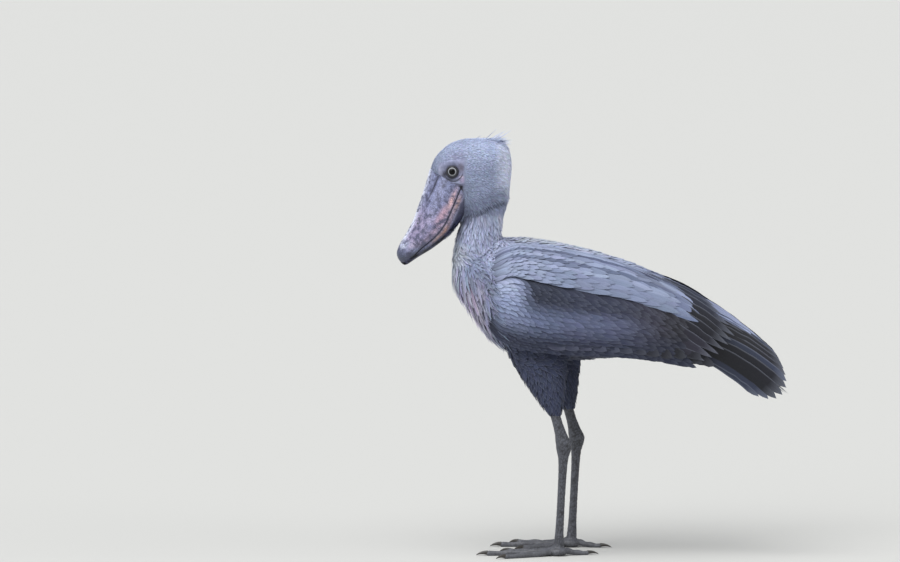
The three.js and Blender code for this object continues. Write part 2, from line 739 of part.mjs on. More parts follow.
// A shape's triangles, with the points that a join left closer than a speck drawn together.
function drawnTogether(shape) {
  const { vertProperties, triVerts } = shape.getMesh();
  const points = Array.from({ length: vertProperties.length / 3 }, (_, i) => vertProperties.subarray(3 * i, 3 * i + 3));
  const home = points.map((_, i) => i);
  const homeOf = (i) => (home[i] === i ? i : homeOf(home[i]));
  for (let i = 0; i < triVerts.length; i += 1) {
    const next = i % 3 === 2 ? i - 2 : i + 1;
    const [a, b] = [homeOf(triVerts[i]), homeOf(triVerts[next])];
    const apart = Math.hypot(...points[a].map((value, axis) => value - points[b][axis]));
    if (a !== b && apart < SPECK) home[Math.max(a, b)] = Math.min(a, b);
  }
  const geometry = new THREE.BufferGeometry();
  geometry.setAttribute("position", new THREE.BufferAttribute(vertProperties, 3));
  geometry.setIndex([...triVerts].map(homeOf));
  return solid(geometry);
}

function add(name, shape, colour, roughness = 0.85) {
  const { vertProperties, triVerts } = drawnTogether(largest(shape)).getMesh();
  const geometry = new THREE.BufferGeometry();
  geometry.setAttribute("position", new THREE.BufferAttribute(vertProperties, 3));
  geometry.setIndex(new THREE.BufferAttribute(triVerts, 1));
  const material = new THREE.MeshStandardMaterial({ color: colour, roughness, metalness: 0 });
  const mesh = new THREE.Mesh(geometry, material);
  mesh.name = name;
  bird.add(mesh);
  return shape;
}

const headWhole = upright(HEAD, 20, 12, HEAD_SQUARE).add(billForm());
const horn = prism(FACE_EDGE);
const hornWider = horn.add(horn.translate(GAP, 0, GAP));
const eyes = {};
let head = headWhole.subtract(hornWider).intersect(above(THROAT_CUT, GAP));
for (const side of [LEFT, RIGHT]) {
  head = head.add(lidRing(side));
  eyes[side] = ball(EYE.radius, EYE.x, side * EYE.y, EYE.z);
  head = head.subtract(ball(EYE.radius + GAP, EYE.x, side * EYE.y, EYE.z));
}
const bill = headWhole.intersect(horn);
const billOpened = bill.subtract(mouthSlit()).subtract(nostril(LEFT)).subtract(nostril(RIGHT));
const billParts = billOpened.decompose().sort((a, b) => b.volume() - a.volume());

const torso = torsoForm(0);
const neckWhole = upright(NECK, 22, 12, 2.1);
const trunk = torso.add(neckWhole);
const neck = trunk.intersect(above(NECK_CUT, GAP)).subtract(above(THROAT_CUT, 0));
const body = trunk.subtract(above(NECK_CUT, 0));
const billClear = headWhole.intersect(prism(BEFORE_THROAT));

add("head", fuse(head, crestLocks()), COLOUR.head);
add("bill_upper", billParts[0], COLOUR.bill, 0.45);
add("bill_lower", billParts[1], COLOUR.bill, 0.45);
add("neck", neck.subtract(billClear), COLOUR.neck);
const torsoCut = torsoForm(GAP);
const plumes = [LEFT, RIGHT].flatMap((side) => plumeVanes(side));
add("torso", fuse(body, plumes).subtract(above(NECK_CUT, 0)), COLOUR.body);
add("tail", tailForm().subtract(torsoCut), COLOUR.tail);
for (const side of [LEFT, RIGHT]) {
  const name = sideName(side);
  const foot = FOOT[name];
  add(`eye_${name}`, eyes[side], COLOUR.eye, 0.1);
  const arm = armForm(side, -8, armOut, 0);
  const feathers = [covertVanes, scapularVanes, tertialVanes, secondaryVanes, primaryVanes];
  const wing = fuse(arm, feathers.flatMap((make) => make(side))).subtract(torsoCut);
  add(`wing_${name}`, wing, COLOUR.wing);
  const wingSpace = armForm(side, -9, () => 60, 20);
  add(`thigh_${name}`, limb(THIGH, foot, 12, 6).subtract(torsoCut).subtract(wingSpace), COLOUR.body);
  const shank = limb(SHANK, foot, 10, 12).add(palm(foot, 0)).subtract(floorCut());
  add(`shank_${name}`, shank, COLOUR.leg, 0.7);
  const palmCut = palm(foot, GAP).add(limb(SHANK.map(([z, a, b]) => [z, a + GAP, b + GAP]), foot, 10, 12));
  const middleCut = toeForm(foot, side, TOES[0], GAP);
  for (const toe of TOES) {
    let form = toeForm(foot, side, toe, 0).subtract(floorCut()).subtract(palmCut);
    if (toe.name === "inner" || toe.name === "outer") form = form.subtract(middleCut);
    add(`toe_${toe.name}_${name}`, form, COLOUR.leg, 0.7);
    add(`claw_${toe.name}_${name}`, clawForm(foot, side, toe), COLOUR.claw, 0.5);
  }
}

// The origin goes to the floor under the middle of the whole bird.
const box = new THREE.Box3().setFromObject(bird);
bird.position.set(-(box.min.x + box.max.x) / 2, -(box.min.y + box.max.y) / 2, 0);

export default bird;
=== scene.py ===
"""A shoebill, life size, standing still in its grey plumage."""

import itertools
import math

import bmesh
import bpy
import numpy as np
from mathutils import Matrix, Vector, noise
from mathutils.bvhtree import BVHTree


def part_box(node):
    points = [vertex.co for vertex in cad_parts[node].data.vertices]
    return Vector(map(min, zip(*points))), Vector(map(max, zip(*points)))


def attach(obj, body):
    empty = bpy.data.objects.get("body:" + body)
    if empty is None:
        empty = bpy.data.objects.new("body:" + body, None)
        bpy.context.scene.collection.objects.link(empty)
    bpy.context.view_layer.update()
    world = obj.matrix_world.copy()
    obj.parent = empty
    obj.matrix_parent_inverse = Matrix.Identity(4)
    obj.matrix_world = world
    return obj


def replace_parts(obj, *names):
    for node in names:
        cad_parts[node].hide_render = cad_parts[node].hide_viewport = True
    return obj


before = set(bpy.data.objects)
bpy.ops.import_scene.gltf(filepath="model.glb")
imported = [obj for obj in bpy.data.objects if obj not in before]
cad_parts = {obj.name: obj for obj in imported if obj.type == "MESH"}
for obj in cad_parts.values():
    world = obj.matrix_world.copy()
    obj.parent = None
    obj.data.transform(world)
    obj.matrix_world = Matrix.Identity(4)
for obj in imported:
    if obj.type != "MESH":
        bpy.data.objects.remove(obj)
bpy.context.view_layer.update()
bpy.ops.object.select_all(action="DESELECT")

# SKIN. The whole body under its feathers, one skin without a seam over head, neck, trunk, folded
# wings, thighs and tail root. It is soft grey skin and down, bare only round the eyes. It is made as
# rounded forms given by their sections in millimetres, grown together and smoothed.
EYE_X = -293.0
eye_low, eye_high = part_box("eye_left")
SHIFT = np.array([500 * (eye_low.x + eye_high.x) - EYE_X, 0.0, 0.0])  # from these figures to the frame's
EYEBALL = (-290.5, 42.0, 813.0)
SIDES = {"left": -1, "right": 1}
FLESH_VOXEL = 0.004
TRUNK_COAT, NECK_COAT, HEAD_COAT, TAIL_COAT, WING_COAT, THIGH_COAT = 8, 5, 2.5, 3, 6, 5
TORSO = np.array([
    (-290, 592, 565, 30), (-278, 612, 546, 52), (-258, 632, 517, 72), (-230, 650, 478, 90),
    (-200, 664, 443, 102), (-160, 667, 424, 111), (-110, 661, 413, 116), (-50, 648, 406, 117),
    (10, 632, 408, 114), (70, 613, 414, 106), (130, 586, 422, 93), (180, 556, 434, 78),
    (220, 526, 450, 63), (246, 503, 464, 50),
], float)  # x, top, bottom, half breadth
NECK = np.array([
    (520, -255, -120, 52), (560, -287, -150, 68), (580, -293, -172, 64), (600, -296, -184, 58),
    (625, -295, -190, 52), (650, -291, -188, 48), (675, -285, -186, 46), (700, -278, -183, 45),
    (722, -269, -179, 45), (750, -260, -176, 45),
], float)  # height, front, back, half breadth
HEAD = np.array([
    (717, -262, -184, 38), (728, -268, -178, 46), (745, -280, -175, 52), (765, -297, -171, 56),
    (785, -320, -169, 58.5), (805, -335, -167, 58.5), (822, -338, -166, 57), (840, -330, -167.5, 53),
    (857, -314, -171, 46), (869, -298, -180, 37), (877, -276, -194, 26), (881, -256, -214, 11),
], float)
BED = np.array([
    (-235, 640, 430, 92), (-160, 664, 380, 114), (-110, 660, 360, 119), (-50, 648, 350, 120),
    (10, 633, 344, 117), (70, 615, 338, 110), (130, 592, 326, 99), (190, 566, 308, 86),
    (250, 532, 288, 74), (310, 490, 262, 64), (370, 444, 232, 58), (430, 402, 205, 56),
], float)  # what the folded wing lies on, as the torso's rows
ARM = np.array([
    (-226, 52, 560, 508, 5), (-208, 60, 584, 480, 10), (-160, 66, 594, 458, 14),
    (-110, 68, 584, 450, 16), (-50, 70, 572, 447, 17), (10, 71, 560, 444, 17),
    (70, 71, 548, 440, 16), (130, 71, 530, 432, 15), (180, 70, 514, 424, 13),
    (215, 69, 500, 416, 10), (330, 66, 440, 372, 5),
], float)  # x, turn of the upper edge, height of the scapulars' edge, of the lower edge, thickness
MANTLE = np.array([
    (-222, 650, 22), (-200, 664, 38), (-170, 667, 48), (-110, 662, 52), (-50, 651, 52), (10, 636, 50),
    (70, 618, 47), (130, 594, 42), (190, 566, 34), (216, 552, 22),
], float)  # the back between the wings: x, top, half breadth
TORSO_SQUARE, HEAD_SQUARE, NECK_SQUARE = 2.4, 2.15, 2.1
BED_SQUARE, MANTLE_SQUARE, TAIL_SQUARE = 2.3, 2.2, 2.6
ARM_SUNK, MANTLE_DEEP = 14.0, 12
BILL_BASE = (-301.0, 772.0)
BILL_PITCH = math.radians(55)
BILL = np.array([
    (-34, 62, -58, 44), (-13, 56.5, -60, 47), (10, 48.3, -61, 50), (50, 36, -60, 52),
    (75, 29, -57.5, 52), (100, 22.5, -51.5, 50), (125, 19.5, -43, 45), (148, 17.8, -33, 37),
    (163, 15.5, -27, 28), (174, 11, -23, 18), (181, 3, -20, 9), (185, -8, -16, 3),
], float)  # distance along, dorsal, ventral, half breadth
MOUTH = [
    (-64, -8), (-44, -13.5), (-25, -17.6), (0, -23.4), (28, -29), (44, -32.6), (60, -35), (78, -35.4),
    (96, -33.5), (115, -29), (133, -24), (146, -21.8), (158, -21), (166, -19.6), (170, -18.5),
    (174, -30), (176, -60),
]
KEEL_HALF, KEEL_RISE, GROOVE_HALF, GROOVE_DEPTH = 10, 8, 6, 4.0
BILL_MIDDLE, UPPER_SQUARE, LOWER_SQUARE = 0.56, 2.2, 2.5
JAW = np.array([(-263, 719), (-244, 728), (-225, 740), (-199, 751), (-175, 756)], float)
HORN_EDGE = np.array([(267, 786), (296, 791), (320, 806), (343, 818), (380, 836)], float)
TAIL_ROOT, TAIL_TIP = np.array([236.0, 0, 480]), np.array([416.0, 0, 330])
TAIL_HALF, TAIL_DEEP = 46, 14
FEET = {"left": (-68.0, -74.0), "right": (-38.0, 74.0)}
ANKLE_BACK, ANKLE_Z, KNEE_LEAN, INWARD = 12, 236, 0.3, 0.0009
THIGH = np.array([
    (300, 17, 16), (320, 26, 21), (345, 37, 27), (375, 49, 32), (405, 60, 34), (470, 70, 34),
], float)  # height, half depth, half breadth


def between(rows, keys):
    keys = np.clip(np.atleast_1d(np.asarray(keys, float)), rows[0, 0], rows[-1, 0])
    i = np.clip(np.searchsorted(rows[:, 0], keys, side="right") - 1, 0, len(rows) - 2)
    a, b = rows[i], rows[i + 1]
    before, after = rows[np.maximum(i - 1, 0)], rows[np.minimum(i + 2, len(rows) - 1)]
    span = b[:, :1] - a[:, :1]
    t = (keys[:, None] - a[:, :1]) / span
    into = span * (b - before) / (b[:, :1] - before[:, :1])
    out = span * (after - a) / (after[:, :1] - a[:, :1])
    rise = b - a
    return (a + t * (into + t * (3 * rise - 2 * into - out + t * (into + out - 2 * rise))))[:, 1:]


def step(value, low, high):
    t = np.clip((value - low) / (high - low), 0, 1)
    return t * t * (3 - 2 * t)


def hump(distance, width):
    return np.exp(-((distance / width) ** 2))


def rounded(angle, across, up, square):
    c, s = np.cos(angle), np.sin(angle)
    power = 2 / square
    return across * np.sign(c) * np.abs(c) ** power, up * np.sign(s) * np.abs(s) ** power


def settled(points):
    return (np.asarray(points, float).reshape(-1, 3) + SHIFT) / 1000


def mesh_of(name, points, corners, sizes):
    mesh = bpy.data.meshes.new(name)
    mesh.vertices.add(len(points))
    mesh.vertices.foreach_set("co", np.asarray(points, np.float32).ravel())
    mesh.loops.add(len(corners))
    mesh.loops.foreach_set("vertex_index", np.asarray(corners, np.int32))
    mesh.polygons.add(len(sizes))
    starts = np.concatenate(([0], np.cumsum(sizes)[:-1]))
    mesh.polygons.foreach_set("loop_start", starts.astype(np.int32))
    mesh.update(calc_edges=True)
    piece = bpy.data.objects.new(name, mesh)
    bpy.context.scene.collection.objects.link(piece)
    return piece


def tube_corners(rings, sides):
    corners, sizes = [], []
    last = rings * sides
    for j in range(sides):
        k = (j + 1) % sides
        corners += [last, k, j]
        sizes.append(3)
        for i in range(rings - 1):
            corners += [i * sides + j, i * sides + k, (i + 1) * sides + k, (i + 1) * sides + j]
            sizes.append(4)
        corners += [(rings - 1) * sides + j, (rings - 1) * sides + k, last + 1]
        sizes.append(3)
    return corners, sizes


def only(piece):
    bpy.ops.object.select_all(action="DESELECT")
    piece.select_set(True)
    bpy.context.view_layer.objects.active = piece


def edited(piece, action, **settings):
    only(piece)
    bpy.ops.object.mode_set(mode="EDIT")
    bpy.ops.mesh.select_all(action="SELECT")
    action(**settings)
    bpy.ops.object.mode_set(mode="OBJECT")
    return piece


def tube(name, rings):
    rings = np.asarray(rings, float)
    points = np.concatenate((rings.reshape(-1, 3), rings[:1].mean(1), rings[-1:].mean(1)))
    piece = mesh_of(name, settled(points), *tube_corners(*rings.shape[:2]))
    return edited(piece, bpy.ops.mesh.normals_make_consistent, inside=False)


def joined(name, forms):
    only(forms[0])
    for form in forms:
        form.select_set(True)
    bpy.ops.object.join()
    piece = bpy.context.view_layer.objects.active
    piece.name = piece.data.name = name
    return piece


def finished(piece, kind, **settings):
    only(piece)
    modifier = piece.modifiers.new(kind.title(), kind)
    for key, value in settings.items():
        setattr(modifier, key, value)
    bpy.ops.object.modifier_apply(modifier=modifier.name)


def turns(sides):
    return np.arange(sides) * 2 * np.pi / sides


def torso_rings(inset):
    x = np.linspace(-290 + inset, 246, 60)
    top, bottom, half = between(TORSO, x).T[:, :, None]
    y, z = rounded(turns(64), half - inset, (top - bottom) / 2 - inset, TORSO_SQUARE)
    return np.stack((x[:, None] + 0 * y, y, (top + bottom) / 2 + z), -1)


def upright_rings(rows, square, inset):
    high = np.linspace(rows[0, 0] + inset, rows[-1, 0] - inset, 48)
    front, back, half = between(rows, high).T[:, :, None]
    x, y = rounded(turns(56), (back - front) / 2 - inset, half - inset, square)
    return np.stack(((front + back) / 2 + x, y, high[:, None] + 0 * y), -1)


def bill_point(along, dorsal, sideways):
    c, s = math.cos(BILL_PITCH), math.sin(BILL_PITCH)
    x = BILL_BASE[0] - c * along - s * dorsal
    return np.stack(np.broadcast_arrays(x, sideways, BILL_BASE[1] - s * along + c * dorsal), -1)


def groove_at(along):
    return 31 - 12 * step(along, -12, 95)


def bill_section(along, angle):
    top, bottom, half = between(BILL, along).T[:, :, None]
    middle = top - BILL_MIDDLE * (top - bottom)
    above = np.sin(angle) > 0
    across, up = rounded(angle, half, np.where(above, top - middle, middle - bottom), UPPER_SQUARE)
    lower, down = rounded(angle, half, middle - bottom, LOWER_SQUARE)
    across, up = np.where(above, across, lower), np.where(above, up, down)
    keel = KEEL_RISE * hump(across, KEEL_HALF)
    groove = GROOVE_DEPTH * hump(np.abs(across) - groove_at(along)[:, None], GROOVE_HALF)
    fade = np.where(above, step(half, 14, 40), 0) * np.sin(angle)
    return middle, across, up - fade * (KEEL_RISE - keel + groove)


def arm_turns(x):
    upper, scapular, lower, _ = between(ARM, x).T
    return turn_at(BED, BED_SQUARE, x, lower), turn_at(BED, BED_SQUARE, x, scapular), upper


def arm_out(x, turn):
    lower, _, upper = arm_turns(x)
    v = np.clip((turn - lower) / (upper - lower), 0, 1)
    return between(ARM, x)[:, 3] * (0.4 + 0.6 * (1 - np.abs(2 * v - 1) ** 4))


def turn_at(rows, square, x, z):
    top, bottom, _ = between(rows, x).T
    rise = np.clip((2 * z - top - bottom) / (top - bottom), -0.98, 0.98)
    return np.degrees(np.arcsin(np.sign(rise) * np.abs(rise) ** (square / 2)))


def over_bed(rows, square, x, turn, out, side):
    top, bottom, half = between(rows, x).T
    middle, high = (top + bottom) / 2, (top - bottom) / 2
    across, up = rounded(np.radians(np.clip(turn, -85, 85)), half, high, square)
    run = np.abs(across / half) ** (square - 1) / half
    climb = np.sign(up) * np.abs(up / high) ** (square - 1) / high
    size = np.hypot(run, climb)
    return np.stack((x, side * (across + out * run / size), middle + up + out * climb / size), -1)


def arm_rings(side, inset):
    rings = []
    share = np.linspace(0, 1, 26)
    for x in np.linspace(ARM[0, 0] + 4, 212, 50):
        here = np.full(share.shape, x)
        lower, _, upper = arm_turns(here)
        turn = lower + (upper - lower) * (0.02 + 0.96 * share)
        outer = over_bed(BED, BED_SQUARE, here, turn, arm_out(here, turn) - inset, side)
        inner = over_bed(BED, BED_SQUARE, here, turn, np.full(share.shape, -ARM_SUNK), side)
        rings.append(np.concatenate((outer, inner[::-1])))
    return rings


def leg_line(foot, z):
    x, y = foot
    low = x + ANKLE_BACK * np.minimum(z / ANKLE_Z, 1)
    rise = np.maximum(z - ANKLE_Z, 0)
    return low - KNEE_LEAN * rise, y * (1 - INWARD * rise)


def limb_rings(rows, foot, inset, count, sides):
    z = np.linspace(rows[0, 0], rows[-1, 0], count)
    deep, half = between(rows, z).T[:, :, None]
    x, y = leg_line(foot, z[:, None])
    angle = turns(sides)
    ring = (x + (deep - inset) * np.cos(angle), y + (half - inset) * np.sin(angle), z[:, None])
    return np.stack(np.broadcast_arrays(*ring), -1)


def on_tail(t, y, up):
    run = TAIL_TIP - TAIL_ROOT
    rise = np.array([-run[2], 0, run[0]]) / np.hypot(run[0], run[2])
    base = TAIL_ROOT + np.multiply.outer(t, run) + np.multiply.outer(up, rise)
    return base + np.multiply.outer(y, np.array([0, 1.0, 0]))


def tail_rings(inset):
    rings = []
    for t in np.linspace(-0.12, 1, 14):
        wide, deep = TAIL_HALF * (1 - 0.18 * max(t, 0)), TAIL_DEEP * (1 - 0.45 * t * t)
        y, up = rounded(turns(40), wide - inset, deep - inset, TAIL_SQUARE)
        rings.append(on_tail(np.full(40, 0.34 * t), y, up))
    return rings


def mantle_rings():
    x = np.linspace(MANTLE[0, 0], MANTLE[-1, 0], 44)
    top, half = between(MANTLE, x).T[:, :, None]
    y, z = rounded(turns(40), half, MANTLE_DEEP, MANTLE_SQUARE)
    return np.stack((x[:, None] + 0 * y, y, top - MANTLE_DEEP + z), -1)


def jaw(x):
    return np.interp(x, *JAW.T)


def under_horn(x, z):
    edge = np.interp(-x, *HORN_EDGE.T)
    chin = 716 + (x + 267)
    return step(-x, 267, 271) * step(edge - z, 1, 6) * step(z - chin, -12, -6)


bill_along = np.linspace(-34, 168, 70)
middle, across, up = bill_section(bill_along, turns(64))
outside = bill_point(bill_along[:, None] + 0 * across, middle + up, across)
inset = 0.8 + 2.0 * under_horn(outside[..., 0], outside[..., 2])
core = 1 - inset / np.maximum(np.hypot(across, up), 6)
bill_core = bill_point(bill_along[:, None] + 0 * across, middle + core * up, core * across)
forms = [
    tube("flesh", torso_rings(TRUNK_COAT)),
    tube("flesh", upright_rings(NECK, NECK_SQUARE, NECK_COAT)),
    tube("flesh", upright_rings(HEAD, HEAD_SQUARE, HEAD_COAT)),
    tube("flesh", bill_core),
    tube("flesh", tail_rings(TAIL_COAT)),
    tube("flesh", mantle_rings()),
]
for name, side in SIDES.items():
    forms.append(tube("flesh", arm_rings(side, WING_COAT)))
    forms.append(tube("flesh", limb_rings(THIGH, FEET[name], THIGH_COAT, 30, 28)))
skin = joined("skin", forms)
finished(skin, "REMESH", mode="VOXEL", voxel_size=FLESH_VOXEL, use_smooth_shade=True)
finished(skin, "SMOOTH", factor=0.5, iterations=6)

# The bare face is drawn finer than the rest, and folded: a brow over the eye, a hollow that the eye
# sits in, and creases of loose skin below and behind it.
FACE = ((-362, -262), (778, 852))
CREASES = (
    (16.0, 1.1, 1.5), (20.5, 1.1, 1.6), (25.0, 1.1, 0.9), (29.5, 1.0, 0.6),
)  # distance from the eye, half width, depth
for fineness in range(2):
    edit = bmesh.new()
    edit.from_mesh(skin.data)
    near = []
    for edge in edit.edges:
        x, _, z = 1000 * (edge.verts[0].co + edge.verts[1].co) / 2
        if FACE[0][0] < x - SHIFT[0] < FACE[0][1] and FACE[1][0] < z < FACE[1][1]:
            near.append(edge)
    bmesh.ops.subdivide_edges(edit, edges=near, cuts=1, use_grid_fill=True, smooth=0.4)
    bmesh.ops.triangulate(edit, faces=[face for face in edit.faces if len(face.verts) > 4])
    edit.to_mesh(skin.data)
    edit.free()


def gathered(items, what, width=1, kind=np.float32):
    values = np.zeros(len(items) * width, kind)
    items.foreach_get(what, values)
    return values if width == 1 else values.reshape(-1, width)


def places(piece):
    return gathered(piece.data.vertices, "co", 3).astype(float) * 1000 - SHIFT


def facing(piece):
    return gathered(piece.data.vertex_normals, "vector", 3).astype(float)


def moved_to(piece, points):
    piece.data.vertices.foreach_set("co", settled(points).astype(np.float32).ravel())
    piece.data.update()


def round_eye(points):
    return points[:, 0] - EYEBALL[0], points[:, 2] - EYEBALL[2]


def in_face(points):
    x, z = points[:, 0], points[:, 2]
    edge = step(-x, 264, 270) * step(z, 776, 786)
    brow = 838 + 0.28 * (x + 293)
    return edge * (1 - step(z, brow - 3, brow + 5)) * step(np.abs(points[:, 1]), 24, 34)


points = places(skin)
ahead, over = round_eye(points)
reach = np.hypot(ahead, over * 1.05)
bearing = np.degrees(np.arctan2(over, ahead))
below = step(-over, -4, 6)
hollow = -2.6 * np.exp(-((reach / 15) ** 4))
brow = 2.4 * hump(reach - 23, 5) * step(over, 3, 14)
creases = sum(
    -depth * hump(reach + 1.2 * np.sin(bearing / 17) - at, wide) for at, wide, depth in CREASES
)
weight = in_face(points)
moved = weight * (hollow + brow + below * creases)
moved -= 2.2 * under_horn(points[:, 0], points[:, 2]) * step(np.abs(points[:, 1]), 10, 25)
moved_to(skin, points + moved[:, None] * facing(skin))


def linear(code):
    parts = np.array([int(code[i:i + 2], 16) / 255 for i in (1, 3, 5)])
    return np.where(parts <= 0.04045, parts / 12.92, ((parts + 0.055) / 1.055) ** 2.4)


def tinted(colour, *layers):
    for code, share in layers:
        colour = colour + (linear(code) - colour) * np.asarray(share)[..., None]
    return colour


def painted(points, code, *layers):
    return tinted(np.zeros((len(points), 3)) + linear(code), *layers)


def dabbed(colour, marks, along, over, share=1.0):
    for at, high, long, tall, code, strength in marks:
        spot = np.exp(-(((along - at) / long) ** 2) - ((over - high) / tall) ** 2)
        colour = tinted(colour, (code, share * strength * spot))
    return colour


# The lie of colours over the whole bird, the same for skin and feathers: pale blue-grey head, a
# darker back, mauve on the breast, and near black towards rump and wing tips. Light and shade are
# painted in as well: highlights along the back ridge, on the back of the head and on the nape, and
# shade on the belly under the wings, under the cheek and in the throat below the bill.
NECK_SLANT = 0.78


def up_neck(x, z):
    return z - NECK_SLANT * (-x - 240)


def plumage(points):
    x, y, z = points.T
    on_head, past_jaw = step(-x, 140, 160), z - jaw(x)
    # painted highlight on the nape, as of light from behind
    nape_highlight = step(z, 668, 690) * step(735 - z, 0, 15) * step(x, -212, -188) * (x < -160)
    forehead = np.exp(-(((x + 286) / 20) ** 2) - ((z - 843) / 13) ** 2) * step(np.abs(y), 12, 34)
    # painted shade under the cheek, where the head overhangs the neck
    jowl_shade = step(x, -278, -262) * step(-x, 172, 190)
    # painted shade in the throat, just below the bill
    throat_shade = step(-x - 0.25 * (z - 690), 262, 276) * step(z, 676, 700) * step(742 - z, 0, 8)
    colour = painted(
        points, "#666f8c",
        ("#8b95b3", step(z, 560, 640) * step(-x, -150, -20)),
        # painted highlight: a pale strip along the top of the back, where the light from above falls
        ("#b2b9c9", step(46 - np.abs(y), 0, 20) * step(z, 585, 610) * step(-x, -130, 175)),
        ("#b9b3cb", step(-x, 205, 262) * step(610 - z, 0, 50)),
        # painted shade: the belly below the wings darker, as in the wings' shadow
        ("#343a52", step(492 - z, 0, 60) * step(x, -236, -196)),
        ("#a4abc8", step(up_neck(x, z), 615, 665) * step(-x, 150, 200)),
        ("#8f99b5", step(z, 706, 752) * on_head),
        ("#abb6d4", step(z, 812, 864) * on_head),
        # painted highlight on the back of the head and on the nape
        ("#cfd6ec", step(z, 726, 790) * step(x, -214, -180) * on_head),
        ("#c9cee2", nape_highlight),
        ("#8685a2", 0.75 * forehead),
        # painted shade: the lower cheek darker and a dark line just under the jaw line
        ("#6f7892", jowl_shade * 0.7 * hump(past_jaw - 14, 14)),
        ("#3c4256", jowl_shade * 0.8 * hump(past_jaw + 4, 5)),
        # painted shade in the throat below the bill
        ("#23252f", throat_shade * 0.8),
        ("#2a2d3a", step(x, 130, 205) * step(530 - z, -60, 20)),
    )
    spots = np.sin(x / 19 + 1.3 * np.sin(z / 23)) * np.sin(z / 17 + np.sin(y / 21 + x / 31))
    return colour * (1 + 0.06 * spots)[..., None]


FACE_MARKS = (
    (-18, -6, 9, 8, "#2b2933", 0.9), (-26, -13, 6, 3, "#2b2a33", 0.8), (-30, 2, 8, 12, "#a6a9c2", 0.6),
    (17, 8, 9, 11, "#615c6c", 0.85), (10, -22, 9, 5, "#9aa1bd", 0.7), (20, -18, 7, 6, "#9384a0", 0.8),
    # the last mark in the next row, a thin dark line below the eye, is painted shade along a fold
    (18, -11, 5, 2.2, "#c3b6cb", 0.9), (-4, 26, 20, 6, "#8a8fae", 0.7), (8, -27, 12, 2.0, "#3a3947", 0.7),
    (-6, -15, 9, 4.5, "#33333f", 0.7),
)  # behind and above the eye, half sizes, colour, strength


def bill_place(x, z):
    x, z = x - BILL_BASE[0], z - BILL_BASE[1]
    c, s = math.cos(BILL_PITCH), math.sin(BILL_PITCH)
    return -c * x - s * z, -s * x + c * z


def mouth_gap(along, dorsal):
    return dorsal - np.interp(along, *np.array(MOUTH[:15]).T)


def skin_colours(points):
    x, y, z = points.T
    bare = in_face(points)
    ahead, over = round_eye(points)
    reach = np.hypot(ahead, over)
    # painted shade along the fold of skin below the eye
    fold_shade = hump(reach - 20.5, 1.6) * step(-over, 2, 9) * step(ahead, -22, -8)
    socket = np.hypot(ahead + 1.5, over + 1.0)
    horn = under_horn(x, z) * step(np.abs(y), -1, 0)
    colour = tinted(plumage(points) * 0.68, ("#7f839f", bare))
    return tinted(
        dabbed(colour, FACE_MARKS, ahead, over, bare),
        ("#24242e", bare * 0.85 * fold_shade),
        ("#1d1d25", bare * np.exp(-((socket / 15) ** 8))),
        ("#77768d", horn),
        # painted shade: the skin seen through the mouth slit near black
        ("#121116", horn * hump(mouth_gap(*bill_place(x, z)), 6)),
    )


def node(material, kind, settings={}, links={}, output=0):
    made = material.node_tree.nodes.new("ShaderNode" + kind)
    for key, value in settings.items():
        if isinstance(value, str) and value[0] == "#":
            value = (*linear(value), 1)
        if isinstance(key, int) or key in made.inputs:
            made.inputs[key].default_value = value
        else:
            setattr(made, key, value)
    for key, source in links.items():
        material.node_tree.links.new(source, made.inputs[key])
    return made.outputs[output] if len(made.outputs) else made


def material_of(name):
    material = bpy.data.materials.new(name)
    material.use_nodes = True
    material.node_tree.nodes.clear()
    return material


def surfaced(material, settings, links):
    shader = node(material, "BsdfPrincipled", settings, links)
    node(material, "OutputMaterial", {}, {"Surface": shader})


def coloured(piece, colours):
    layer = piece.data.color_attributes.new("plumage", "FLOAT_COLOR", "POINT")
    packed = np.concatenate((colours, np.ones((len(colours), 1))), 1)
    layer.data.foreach_set("color", packed.astype(np.float32).ravel())


# Bare skin and down: matt, finely pored, each pore about a millimetre across, and a little lighter
# and darker in patches of a few millimetres.
PORE, SKIN_PATCH = 1.3, 6.25
bare_skin = material_of("bare grey skin")
marks = node(bare_skin, "Attribute", {"attribute_name": "plumage"})
place = node(bare_skin, "TexCoord", output="Object")
pores = node(bare_skin, "TexVoronoi", {"Scale": 1000 / PORE}, {"Vector": place})
patches = node(bare_skin, "TexNoise", {"Scale": 1000 / SKIN_PATCH, "Detail": 5.0}, {"Vector": place})
lighter = node(
    bare_skin, "MapRange", {"From Min": 0.3, "From Max": 0.7, "To Min": 0.78, "To Max": 1.2},
    {"Value": patches},
)
shaded = node(
    bare_skin, "MixRGB", {"blend_type": "MULTIPLY", "Fac": 1.0}, {"Color1": marks, "Color2": lighter}
)
pitted = node(bare_skin, "Bump", {"Strength": 0.35, "Distance": 0.0006}, {"Height": pores})
surfaced(
    bare_skin, {"Roughness": 0.62, "Specular IOR Level": 0.35}, {"Base Color": shaded, "Normal": pitted}
)

coloured(skin, skin_colours(places(skin)))
skin.data.materials.append(bare_skin)
only(skin)
bpy.ops.object.shade_smooth()
edited(skin, bpy.ops.uv.smart_project, angle_limit=math.radians(66), island_margin=0.002)
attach(skin, "root")
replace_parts(skin, "head", "neck", "torso", "thigh_left", "thigh_right")

# BILL. Two halves of horn over bone: a keeled upper half with a groove on each side of the keel and a
# hooked nail, and a lower half under it. It is grown as one form and then parted along the mouth.
SLIT = 1.5
FACE_EDGE = [
    (-267, 560), (-267, 786), (-281, 787.5), (-296, 791), (-308, 798), (-320, 806), (-332, 812.5),
    (-343, 818), (-361, 827), (-380, 836), (-520, 836), (-520, 560),
]
NOSTRIL_FROM, NOSTRIL_TO = -6, 24
DENT_LONG, DENT_WIDE, DENT_DEPTH = 34, 9, 0.55


